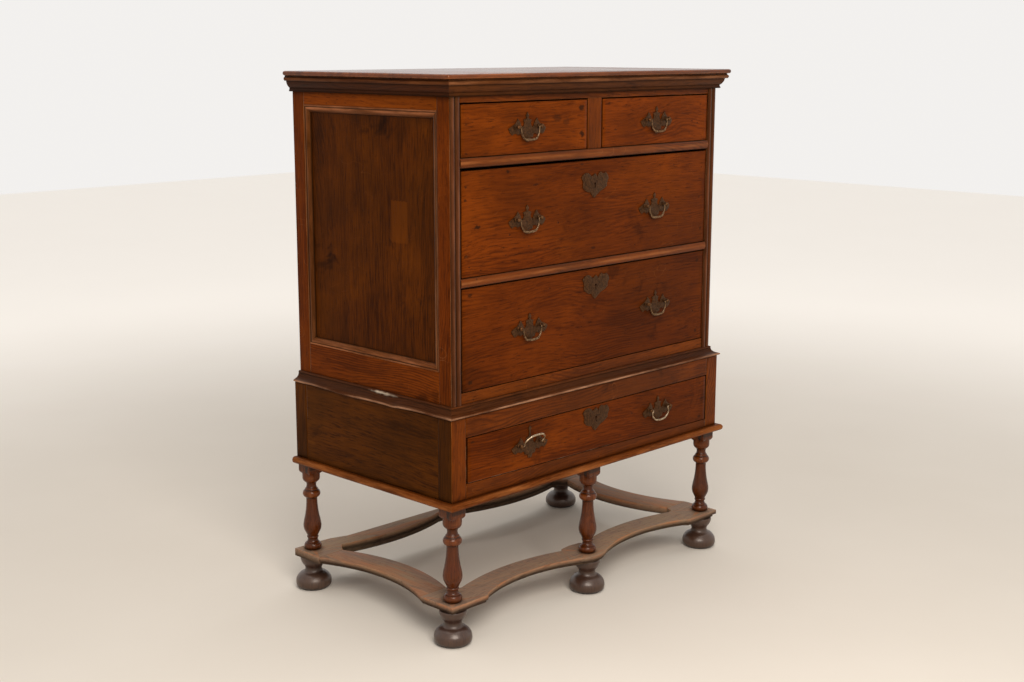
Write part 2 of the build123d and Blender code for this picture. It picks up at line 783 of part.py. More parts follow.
def escutcheon(place, face):
    """Feathered shield with a pointed base, pierced for the key."""
    x, z = place
    shape = outline(
        (-2, -27),
        ((-9, -22), (-14, -15)),
        ((-27, -12), (-39, -3)),
        ((-38, 7), (-43, 17)),
        ((-36, 24), (-23, 26)),
        ((-16, 23), (-12, 18)),
        ((-6.5, 20), (0, 24.5)),
        ((5, 20), (8, 15)),
        ((12, 23), (19, 27)),
        ((25.5, 23.5), (34, 25)),
        ((41, 19), (44, 11)),
        ((39.5, 4), (39, -4)),
        ((28, -10), (17, -14)),
        ((9, -19), (-2, -27)),
    )
    plate = Pos(x, 0, z) * front_facing(shape, face - PLATE_THICK, PLATE_THICK)
    return plate - keyhole(place, face - 10, 20)


def lock(place, face):
    """Box lock let into the back of the front: case, withdrawn bolt and key pin."""
    x, z = place
    inside = face + DRAWER_FRONT_THICK
    near = inside - LOCK_SINK
    xs = (x - LOCK_WIDTH / 2, x + LOCK_WIDTH / 2)
    zs = (z - LOCK_HEIGHT / 2 - LOCK_DROP, z + LOCK_HEIGHT / 2 - LOCK_DROP)
    case = block(xs, (near, near + LOCK_DEPTH), zs)
    cavity_y = (near + LOCK_WALL, near + LOCK_DEPTH - LOCK_WALL)
    cavity = block(
        (xs[0] + LOCK_WALL, xs[1] - LOCK_WALL),
        cavity_y,
        (zs[0] + LOCK_WALL, zs[1] - LOCK_WALL),
    )
    bolt_x = (x - BOLT_HALF, x + BOLT_HALF)
    mouth_x = (bolt_x[0] - BOLT_GAP, bolt_x[1] + BOLT_GAP)
    mouth = block(mouth_x, cavity_y, (zs[1] - LOCK_WALL - 3, zs[1] + 1))
    key_way = keyhole(place, near - 1, LOCK_WALL + 1.5)
    bolt_top = zs[1] - 0.5
    bolt = block(bolt_x, (cavity_y[0] + 1, cavity_y[1]), (bolt_top - BOLT_LENGTH, bolt_top))
    pin = Rot(90, 0, 0) * Cylinder(KEY_PIN_R, cavity_y[1] - cavity_y[0])
    pin = Pos(x, (cavity_y[0] + cavity_y[1]) / 2, z + KEY_PIN_RISE) * pin
    return case, [case - cavity - mouth - key_way, bolt, pin]


def drawer_set():
    """Front, box, brasses, bails and lock of all five drawers, by drawer name."""
    specs = {
        "short_left": ((-LONG_HALF, -SHORT_INNER), SHORT_Z, UPPER_DIVIDER[1], 0.0,
                       ["short_left_bail"], None),
        "short_right": ((SHORT_INNER, LONG_HALF), SHORT_Z, UPPER_DIVIDER[1], 0.0,
                        ["short_right_bail"], None),
        "upper_long": ((-LONG_HALF, LONG_HALF), UPPER_Z, LOWER_DIVIDER[1], 0.0,
                       ["upper_left_bail", "upper_right_bail"], UPPER_ESCUTCHEON),
        "lower_long": ((-LONG_HALF, LONG_HALF), LOWER_Z, BOTTOM_RAIL_Z, 0.0,
                       ["lower_left_bail", "lower_right_bail"], LOWER_ESCUTCHEON),
        "stand": ((-STAND_DRAWER_HALF, STAND_DRAWER_HALF), STAND_Z, STAND_RUNNER_TOP, STAND_FRONT,
                  ["stand_left_bail", "stand_right_bail"], STAND_ESCUTCHEON),
    }
    for name, (x, z, runner, face, handles, key) in specs.items():
        right_drop = STAND_SLOPE if name == "stand" else 0.0
        points = [(x[0], z[0]), (x[1], z[0] - right_drop), (x[1], z[1]), (x[0], z[1])]
        front = upright_board(points, face, DRAWER_FRONT_THICK)
        holes = []
        brasses = []
        for handle in handles:
            hx, hz, raised = HANDLES[handle]
            finial = 38 if raised else 28
            holes += post_cuts(hx, hz, face)
            brasses += handle_brasses(hx, hz, face, finial)
            save(handle, bail(hx, hz, raised, face))
        keyholes = []
        lock_cuts = []
        if key:
            body, pieces = lock(key, face)
            keyholes = [keyhole(key, face - 1, DRAWER_FRONT_THICK + 2)]
            lock_cuts = [body]
            brasses.append(escutcheon(key, face))
            save(f"{name}_lock", *pieces)
        box_z = (runner + DRAWER_LIFT, z[1] - DRAWER_SIDE_DROP)
        front, box = drawer(front, x, face, box_z, keyholes, lock_cuts, holes)
        save(f"{name}_drawer_front", front)
        save(f"{name}_drawer_box", *box)
        save(f"{name}_drawer_brasses", *brasses)


# ---------------------------------------------------------------- write every node
save("top_board", top_board())
save("cornice_moulding", *cornice_moulding())
side_pairs = [mirrored(piece) for piece in side_frame()]
save("right_side_frame", *[pair[0] for pair in side_pairs])
save("left_side_frame", *[pair[1] for pair in side_pairs])
save("side_panels", *mirrored(side_panel()))
save("side_panel_mouldings", *[piece for length in panel_moulding() for piece in mirrored(length)])
save("upper_front_rails", *front_rails())
save("divider_rails", *divider_rails())
save("short_drawer_muntin", short_drawer_muntin())
save("bead_mouldings", *bead_mouldings())
save("upper_drawer_runners", *upper_runners())
save("upper_back_boards", *back_boards())
save("upper_bottom_boards", *bottom_boards())

save("waist_moulding", *waist_moulding())
save("stand_posts", *stand_posts())
save("stand_side_boards", *stand_side_boards())
save("stand_front_rails", *stand_front_rails())
save("stand_back_board", stand_back_board())
save("stand_drawer_runners", *stand_runners())
save("base_moulding", *base_moulding())

for place, (leg_x, leg_y) in leg_places().items():
    save(f"{place}_leg", Pos(leg_x, leg_y, 0) * leg())
    save(f"{place}_foot", Pos(leg_x, leg_y, 0) * bun_foot(STRETCHER_BOTTOM))
save("front_stretcher", front_stretcher())
save("back_stretcher", back_stretcher())
right_stretcher, left_stretcher = mirrored(side_stretcher())
save("right_stretcher", right_stretcher)
save("left_stretcher", left_stretcher)

drawer_set()
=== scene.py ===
import json
import math

import bmesh
import bpy
import numpy as np
from mathutils import Matrix, Vector, noise


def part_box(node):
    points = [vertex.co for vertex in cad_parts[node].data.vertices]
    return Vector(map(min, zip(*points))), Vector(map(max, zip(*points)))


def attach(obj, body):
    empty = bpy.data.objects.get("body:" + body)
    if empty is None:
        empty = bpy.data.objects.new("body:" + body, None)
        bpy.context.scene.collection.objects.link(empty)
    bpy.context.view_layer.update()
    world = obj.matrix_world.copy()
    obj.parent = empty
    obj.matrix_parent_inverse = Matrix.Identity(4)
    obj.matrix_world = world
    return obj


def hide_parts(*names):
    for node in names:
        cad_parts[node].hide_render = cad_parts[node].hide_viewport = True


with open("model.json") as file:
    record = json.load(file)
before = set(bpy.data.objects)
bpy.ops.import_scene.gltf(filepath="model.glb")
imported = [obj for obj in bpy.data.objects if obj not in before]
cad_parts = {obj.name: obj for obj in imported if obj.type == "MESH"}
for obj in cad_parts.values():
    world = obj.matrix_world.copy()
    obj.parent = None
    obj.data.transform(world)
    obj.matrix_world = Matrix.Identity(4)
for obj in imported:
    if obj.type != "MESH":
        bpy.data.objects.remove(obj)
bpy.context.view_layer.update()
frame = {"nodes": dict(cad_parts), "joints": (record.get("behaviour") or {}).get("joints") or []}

# A tall chest of drawers on a stand, dressed around its CAD frame.  Metres; +X is to the
# viewer's right, +Y to the back, +Z up.  Profiles are drawn in millimetres and scaled by MM.
MM = 0.001
FRONT_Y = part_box("upper_front_rails")[0].y         # front face of the upper case
STAND_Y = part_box("stand_posts")[0].y               # front face of the stand
CASE_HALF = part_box("right_side_frame")[1].x
STAND_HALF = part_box("stand_posts")[1].x
BACK_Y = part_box("top_board")[1].y
PANEL_BOARD = 8 * MM                               # thickness of a side panel
POST_SIDE = 40 * MM                                # side of a stand post
SIDE_BOARD = 18 * MM                               # thickness of a stand side board
UPPER_DIVIDER = 19.0 * MM                          # height of each divider rail
LOWER_DIVIDER = 18.3 * MM
STAND_DROP = 13 * MM                               # fall of the stand drawer's lower edge
PIVOT_REACH = 9.5 * MM                             # bail pivot in front of the drawer face
POST_HALF = 33.5 * MM                              # half the distance between handle posts
PLATE = 1.5                                        # thickness of the brass plates, mm
SMOOTH_ANGLE = math.radians(40)                    # edges sharper than this stay sharp


# ---------------------------------------------------------------- outlines
def arc_points(a, m, b, count):
    """Points after a along the circle through a, m and b, ending at b."""
    (ax, ay), (mx, my), (bx, by) = a, m, b
    d = 2 * (ax * (my - by) + mx * (by - ay) + bx * (ay - my))
    if abs(d) < 1e-12:
        return [b]
    sa, sm, sb = ax * ax + ay * ay, mx * mx + my * my, bx * bx + by * by
    cx = (sa * (my - by) + sm * (by - ay) + sb * (ay - my)) / d
    cy = (sa * (bx - mx) + sm * (ax - bx) + sb * (mx - ax)) / d
    radius = math.hypot(ax - cx, ay - cy)
    start = math.atan2(ay - cy, ax - cx)
    middle = (math.atan2(my - cy, mx - cx) - start) % math.tau
    sweep = (math.atan2(by - cy, bx - cx) - start) % math.tau
    if middle > sweep:
        sweep -= math.tau
    angles = [start + sweep * i / count for i in range(1, count + 1)]
    return [(cx + radius * math.cos(t), cy + radius * math.sin(t)) for t in angles]


def curve_points(points, count):
    """Points after the first along a smooth curve through all of them."""
    ends = [points[0]] + list(points) + [points[-1]]
    result = []
    for i in range(len(points) - 1):
        p0, p1, p2, p3 = (np.array(p, float) for p in ends[i:i + 4])
        for k in range(1, count + 1):
            t = k / count
            bent = 2 * p1 + (p2 - p0) * t + (2 * p0 - 5 * p1 + 4 * p2 - p3) * t * t
            bent += (3 * p1 - p0 - 3 * p2 + p3) * t ** 3
            result.append(tuple(bent / 2))
    return result


def outline(start, *steps, count=6):
    """Points in mm.  A step of one point is a straight edge, of two an arc through the first
    to the second, and of more a smooth curve through them all."""
    points = [start]
    for step in steps:
        if not isinstance(step[0], tuple):
            points.append(step)
        elif len(step) == 2:
            points += arc_points(points[-1], step[0], step[1], count)
        else:
            points += curve_points([points[-1]] + list(step), count)
    return points


def mirrored(points):
    """The same points on the other side of the middle, in reverse order."""
    return [(-x, z) for x, z in reversed(points)]


def clamped(value, top=1.0):
    return min(top, max(0.0, value))


# ---------------------------------------------------------------- gathering meshes
def shade_edges(work):
    """Smooth faces, with the edges sharp where two of them meet at a clear angle."""
    for edge in work.edges:
        edge.smooth = edge.is_manifold and edge.calc_face_angle(0) < SMOOTH_ANGLE
    for face in work.faces:
        face.smooth = True


class Shape:
    """Closed solids gathered into one mesh, with paint weights for wear and for painted shade."""

    def __init__(self):
        self.points = []
        self.faces = []
        self.wear = []
        self.painted_shade = []
        self.board = []
        self.slots = []
        self.boards = 0

    def add(self, points, faces, wear=None, painted_shade=None, slot=0):
        """One more solid.  The board number shifts the grain, so no two boards match."""
        start = len(self.points)
        self.points += [tuple(p) for p in points]
        self.faces += [tuple(start + i for i in face) for face in faces]
        self.wear += wear or [0.0] * len(points)
        self.painted_shade += painted_shade or [0.0] * len(points)
        self.board += [float(self.boards)] * len(points)
        self.slots += [slot] * len(faces)
        self.boards += 1
        return self

    def mesh(self, name):
        mesh = bpy.data.meshes.new(name)
        mesh.from_pydata(self.points, [], self.faces)
        for label in ("wear", "painted_shade", "board"):
            layer = mesh.attributes.new(label, "FLOAT", "POINT")
            layer.data.foreach_set("value", np.array(getattr(self, label), np.float32))
        mesh.polygons.foreach_set("material_index", np.array(self.slots, np.int32))
        work = bmesh.new()
        work.from_mesh(mesh)
        bmesh.ops.recalc_face_normals(work, faces=work.faces)
        shade_edges(work)
        work.to_mesh(mesh)
        work.free()
        mesh.update()
        return mesh


def new_object(name, data):
    obj = bpy.data.objects.new(name, data)
    bpy.context.scene.collection.objects.link(obj)
    return obj


def place(shape, node, slot, *materials, body="chest"):
    """Makes the piece for a CAD node, rides it on its body and lets it stand for the node."""
    name = node + "_piece"
    mesh = shape if isinstance(shape, bpy.types.Mesh) else shape.mesh(name)
    for material in materials:
        mesh.materials.append(material)
    obj = new_object(name, mesh)
    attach(obj, body)
    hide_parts(node)


def evaluated_mesh(obj, name):
    """The mesh of a scratch object with its modifiers applied; the object is removed."""
    bpy.context.view_layer.update()
    graph = bpy.context.evaluated_depsgraph_get()
    mesh = bpy.data.meshes.new_from_object(obj.evaluated_get(graph))
    mesh.name = name
    bpy.data.objects.remove(obj)
    return mesh


def boolean(base, cutters, name, operation="DIFFERENCE"):
    """Exact boolean of a mesh with other meshes."""
    target = new_object(name, base)
    helpers = []
    for cutter in cutters:
        helper = new_object(name + "_cutter", cutter)
        modifier = target.modifiers.new("cut", "BOOLEAN")
        modifier.operation = operation
        modifier.solver = "EXACT"
        modifier.object = helper
        helpers.append(helper)
    mesh = evaluated_mesh(target, name)
    for helper in helpers:
        bpy.data.objects.remove(helper)
    return mesh


# ---------------------------------------------------------------- boards
def stations(low, high, radius, step, fade):
    """Grid positions along one edge of a board, close together at its rounded ends."""
    length = high - low
    near = [0.0, 0.3 * radius, radius]
    if length > 2 * (radius + fade) + step * 0.2:
        near.append(radius + fade)
    inner = length - 2 * near[-1]
    count = max(1, round(inner / step))
    middle = [near[-1] + inner * i / count for i in range(1, count)]
    far = [length - value for value in reversed(near)]
    return [low + value for value in near + middle + far]


def grid_faces(counts):
    """Quads over the six sides of a box grid, and the grid place of every vertex."""
    index = {}

    def at(*key):
        return index.setdefault(key, len(index))

    faces = []
    for axis in range(3):
        u, v = (axis + 1) % 3, (axis + 2) % 3
        for end in (0, counts[axis] - 1):
            for i in range(counts[u] - 1):
                for j in range(counts[v] - 1):
                    quad = []
                    for di, dj in ((0, 0), (1, 0), (1, 1), (0, 1)):
                        key = [0, 0, 0]
                        key[axis], key[u], key[v] = end, i + di, j + dj
                        quad.append(at(*key))
                    faces.append(tuple(quad if end else reversed(quad)))
    return faces, list(index)


def board(low, high, radius=1.0 * MM, step=0.045, wave=0.25 * MM, fade=3.5 * MM, seed=0.0, bend=None):
    """Rounded, slightly uneven board between two corners: points, faces and edge wear."""
    axes = [stations(low[i], high[i], radius, step, fade) for i in range(3)]
    faces, keys = grid_faces([len(axis) for axis in axes])
    points = []
    wear = []
    for key in keys:
        p = Vector([axes[i][key[i]] for i in range(3)])
        core = Vector([min(max(p[i], low[i] + radius), high[i] - radius) for i in range(3)])
        out = p - core
        worn = 1.0 if sum(abs(value) > 1e-9 for value in out) > 1 else 0.0
        if out.length > 1e-9:
            out.normalize()
            p = core + out * radius
        rough = noise.noise(p * 9 + Vector((seed, seed, seed))) * 0.5 + 0.5
        fine = noise.noise(p * 60 + Vector((seed, 0, seed))) * 0.5 + 0.5
        p -= out * wave * (rough + 0.8 * fine * worn)
        points.append(bend(p) if bend else p)
        wear.append(worn)
    return points, faces, wear


def boards(shape, *pairs, slot=0, **settings):
    """Adds a board for each pair of corners."""
    for k, (low, high) in enumerate(pairs):
        points, faces, wear = board(low, high, seed=3.7 * (k + shape.boards), **settings)
        shape.add(points, faces, wear, slot=slot)
    return shape


def both_sides(low, high):
    """A box on the right and the same box on the left."""
    return ((-high[0], low[1], low[2]), (-low[0], high[1], high[2])), (low, high)


# ---------------------------------------------------------------- mouldings and turnings
def loft_faces(rows, size, flip=False):
    """Faces of a solid whose points lie in rows of one size, with a cap at each end."""
    faces = []
    for a in range(0, (rows - 1) * size, size):
        b = a + size
        faces += [(a + i, a + (i + 1) % size, b + (i + 1) % size, b + i) for i in range(size)]
    first, last = range(size), range((rows - 1) * size, rows * size)
    if flip:
        return faces + [tuple(reversed(first)), tuple(last)]
    return faces + [tuple(first), tuple(reversed(last))]


def turn_sign(points):
    """1 for an outline that runs anticlockwise, -1 for a clockwise one."""
    area = sum(a[0] * b[1] - b[0] * a[1] for a, b in zip([points[-1]] + points, points))
    return 1 if area > 0 else -1


def profile_paint(points):
    """Wear on the parts that stand out, and painted shade in the hollows and along the underside, for each profile
    point.
    """
    reach = max(p[0] for p in points)
    depth = reach - min(p[0] for p in points)
    bottom = min(p[1] for p in points)
    sign = turn_sign(points)
    wear = []
    painted_shade = []
    for i, (d, h) in enumerate(points):
        before = Vector((d, h)) - Vector(points[i - 1])
        after = Vector(points[(i + 1) % len(points)]) - Vector((d, h))
        turn = sign * (before.x * after.y - before.y * after.x)
        turn /= max(before.length * after.length, 1e-9)
        standing = max(0.0, 1 - (reach - d) / max(depth * 0.12, 1e-9))
        corner = 0.7 if turn > 0.45 and d > reach - depth * 0.8 else 0
        # Painted shade: full along the underside and in sharp hollows, half in shallow ones.
        under = h < bottom + 1.7 and d < reach - 1.2
        wear.append(0.0 if under else min(1.0, standing + corner))
        painted_shade.append(1.0 if under or turn < -0.25 else (0.45 if turn < -0.05 else 0.0))
    return wear, painted_shade


def moulding_run(profile, start, end, outward, mitres=(True, True), step=0.02, bend=None):
    """Extrudes a (distance out, height) profile in mm from start to end, mitred outwards."""
    start, end, outward = Vector(start), Vector(end), Vector(outward)
    direction = (end - start).normalized()
    length = (end - start).length
    count = max(2, round(length / step))
    wear, painted_shade = profile_paint(profile)
    points = []
    for s in range(count + 1):
        for d, h in profile:
            d, h = d * MM, h * MM
            first = -d if mitres[0] else 0.0
            last = length + d if mitres[1] else length
            p = start + direction * (first + (last - first) * s / count)
            p += outward * d + Vector((0, 0, h))
            points.append(bend(p, d, h) if bend else p)
    return points, loft_faces(count + 1, len(profile)), wear * (count + 1), painted_shade * (count + 1)


def turning(profile, centre, segments=72, tilt=0.0):
    """Lathe work from (radius, height) points in mm, starting and ending on the axis."""
    radii = [r for r, _ in profile]
    points = []
    wear = []
    painted_shade = []
    rings = []
    for i, (r, h) in enumerate(profile):
        ring = []
        around = radii[max(0, i - 2):i + 3]
        standing = r - sum(around) / len(around)
        for k in range(segments if r > 1e-6 else 1):
            t = math.tau * k / segments
            wobble = 1 + 0.006 * math.sin(2 * t + h * 0.05 + tilt)
            ring.append(len(points))
            axis = Vector((centre[0], centre[1], h * MM))
            points.append(axis + Vector((math.cos(t), math.sin(t), 0)) * r * MM * wobble)
            # Wear on the rings that stand out, painted shade in the hollows between them.
            wear.append(clamped(standing * 1.2))
            painted_shade.append(clamped(-standing * 1.2))
        rings.append(ring)
    faces = []
    for low, high in zip(rings, rings[1:]):
        for k in range(segments):
            n = (k + 1) % segments
            if len(low) == 1:
                faces.append((low[0], high[n], high[k]))
            elif len(high) == 1:
                faces.append((low[k], low[n], high[0]))
            else:
                faces.append((low[k], low[n], high[n], high[k]))
    return points, faces, wear, painted_shade


def plate(points, front, soft=0.45):
    """Thin plate in the XZ plane with a softened front edge; points in mm, front at y."""
    size = len(points)
    sign = turn_sign(points)
    inward = []
    for i, p in enumerate(points):
        before = (Vector(p) - Vector(points[i - 1])).normalized()
        after = (Vector(points[(i + 1) % size]) - Vector(p)).normalized()
        along = before + after
        along = along.normalized() if along.length > 1e-6 else before
        inward.append(Vector((-along.y, along.x)) * sign)
    result = []
    wear = []
    layers = ((0.0, PLATE, 0.1), (0.0, soft, 0.7), (0.3 * soft, 0.3 * soft, 1.0), (soft, 0.0, 0.25))
    for inset, depth, worn in layers:
        for p, n in zip(points, inward):
            q = Vector(p) + n * inset
            result.append((q.x * MM, front + depth * MM, q.y * MM))
            wear.append(worn)
    return result, loft_faces(len(layers), size, flip=True), wear


def tube(centres, radii, flatten, sides=20):
    """Round bar along points in the XZ plane, with its own radius at each point."""
    points = []
    for i, centre in enumerate(centres):
        ahead = centres[min(i + 1, len(centres) - 1)] - centres[max(i - 1, 0)]
        ahead.normalize()
        side = Vector((-ahead.z, 0, ahead.x))
        for k in range(sides):
            t = math.tau * k / sides
            offset = side * math.cos(t) * radii[i]
            offset += Vector((0, 1, 0)) * math.sin(t) * radii[i] * flatten[i]
            points.append(centre + offset)
    return points, loft_faces(len(centres), sides, flip=True)


# ---------------------------------------------------------------- materials
AXES = ("X", "Y", "Z")


class Shader:
    """Short words for building a node material."""

    def __init__(self, name):
        self.material = bpy.data.materials.new(name)
        self.material.use_nodes = True
        self.tree = self.material.node_tree
        self.tree.nodes.clear()
        self.output = self.node("OutputMaterial")
        self.bsdf = self.node("BsdfPrincipled")
        self.link(self.bsdf.outputs["BSDF"], self.output.inputs["Surface"])

    def node(self, kind, **settings):
        node = self.tree.nodes.new("ShaderNode" + kind)
        for key, value in settings.items():
            setattr(node, key, value)
        return node

    def link(self, source, target):
        if isinstance(source, (int, float, tuple)):
            target.default_value = source
        else:
            self.tree.links.new(source, target)

    def math(self, operation, a, b=0.0, clamp=False):
        node = self.node("Math", operation=operation, use_clamp=clamp)
        self.link(a, node.inputs[0])
        self.link(b, node.inputs[1])
        return node.outputs[0]

    def plus(self, a, b):
        return self.math("ADD", a, b)

    def minus(self, a, b):
        return self.math("SUBTRACT", a, b)

    def times(self, a, b):
        return self.math("MULTIPLY", a, b)

    def vector(self, operation, a, b):
        node = self.node("VectorMath", operation=operation)
        self.link(a, node.inputs[0])
        self.link(b, node.inputs[1])
        return node.outputs[0]

    def length(self, vector):
        node = self.node("VectorMath", operation="LENGTH")
        self.link(vector, node.inputs[0])
        return node.outputs["Value"]

    def noise(self, vector, scale=1.0, detail=3.0, roughness=0.55, distortion=0.0):
        """Noise at a scale, or at a scale for each axis."""
        if isinstance(scale, tuple):
            vector, scale = self.vector("MULTIPLY", vector, scale), 1.0
        node = self.node("TexNoise")
        self.link(vector, node.inputs["Vector"])
        node.inputs["Scale"].default_value = scale
        node.inputs["Detail"].default_value = detail
        node.inputs["Roughness"].default_value = roughness
        node.inputs["Distortion"].default_value = distortion
        return node.outputs["Fac"]

    def dots(self, vector, scale, radius):
        """1 in small spots, 0 elsewhere."""
        node = self.node("TexVoronoi")
        self.link(vector, node.inputs["Vector"])
        node.inputs["Scale"].default_value = scale
        return self.step(node.outputs["Distance"], radius, radius * 0.6)

    def step(self, value, low, high):
        """Goes smoothly from 0 at low to 1 at high."""
        node = self.node("MapRange", interpolation_type="SMOOTHSTEP")
        self.link(value, node.inputs["Value"])
        node.inputs["From Min"].default_value = low
        node.inputs["From Max"].default_value = high
        return node.outputs["Result"]

    def range(self, value, low, high):
        """Spreads 0..1 over low..high."""
        node = self.node("MapRange")
        self.link(value, node.inputs["Value"])
        node.inputs["To Min"].default_value = low
        node.inputs["To Max"].default_value = high
        return node.outputs["Result"]

    def mix(self, factor, a, b):
        """Mixes two colours; the colour sockets of a Mix node are its inputs 6 and 7."""
        node = self.node("Mix", data_type="RGBA")
        self.link(factor, node.inputs["Factor"])
        self.link(a, node.inputs[6])
        self.link(b, node.inputs[7])
        return node.outputs[2]

    def split(self, vector):
        """The X, Y and Z of a vector."""
        node = self.node("SeparateXYZ")
        self.link(vector, node.inputs[0])
        return {axis: node.outputs[axis] for axis in AXES}

    def join(self, *values):
        node = self.node("CombineXYZ")
        for axis, value in zip(AXES, values):
            self.link(value, node.inputs[axis])
        return node.outputs[0]

    def region(self, vector, centre, half, strength, square=False):
        """A soft-edged mask round a centre, oval or square, as large as half on each axis."""
        offset = self.vector("SUBTRACT", vector, tuple(centre))
        offset = self.vector("MULTIPLY", offset, tuple(1 / h for h in half))
        if square:
            reach = 0.0
            for value in self.split(offset).values():
                reach = self.math("MAXIMUM", self.math("ABSOLUTE", value), reach)
            return self.times(self.step(reach, 1.04, 0.96), strength)
        return self.times(self.step(self.length(offset), 1.15, 0.55), strength)

    def attribute(self, name):
        return self.node("Attribute", attribute_name=name).outputs["Fac"]

    def crevice(self, distance, **settings):
        """1 deep in a corner, 0 in the open."""
        node = self.node("AmbientOcclusion", samples=6, **settings)
        node.inputs["Distance"].default_value = distance
        return self.minus(1.0, node.outputs["AO"])

    def finish(self, shade, rough, height, bump, depth, sheen, tint):
        """Wires the colour, roughness and relief into the surface."""
        self.link(shade, self.bsdf.inputs["Base Color"])
        self.link(rough, self.bsdf.inputs["Roughness"])
        self.bsdf.inputs["Specular IOR Level"].default_value = sheen
        self.bsdf.inputs["Specular Tint"].default_value = colour(*tint)
        relief = self.node("Bump")
        relief.inputs["Strength"].default_value = bump
        relief.inputs["Distance"].default_value = depth
        self.link(height, relief.inputs["Height"])
        self.link(relief.outputs["Normal"], self.bsdf.inputs["Normal"])
        return self.material


def colour(red, green, blue):
    return (red, green, blue, 1.0)


def scaled(shade, *factors):
    """A colour with its red, green and blue each multiplied; one factor serves for all three."""
    factors = factors if len(factors) == 3 else factors * 3
    return tuple(c * k for c, k in zip(shade, factors))


GRAIN_ORDER = {"x": "XYZ", "y": "YXZ", "z": "ZYX"}
HEART = (0.11, -0.62)                              # off-centre heart of the growth rings
RING_WIDTH = 4.6 * MM
# Colour of the painted shade in hollows, under mouldings and round the drawers.
PAINTED_SHADE_COLOUR = (0.005, 0.002, 0.0008)
KNOT = (0.012, 0.005, 0.002)
PIT = (0.010, 0.005, 0.003)
WARM = (1.0, 0.45, 0.15)                           # tints of the reflections
NEUTRAL = (1.0, 0.90, 0.82)


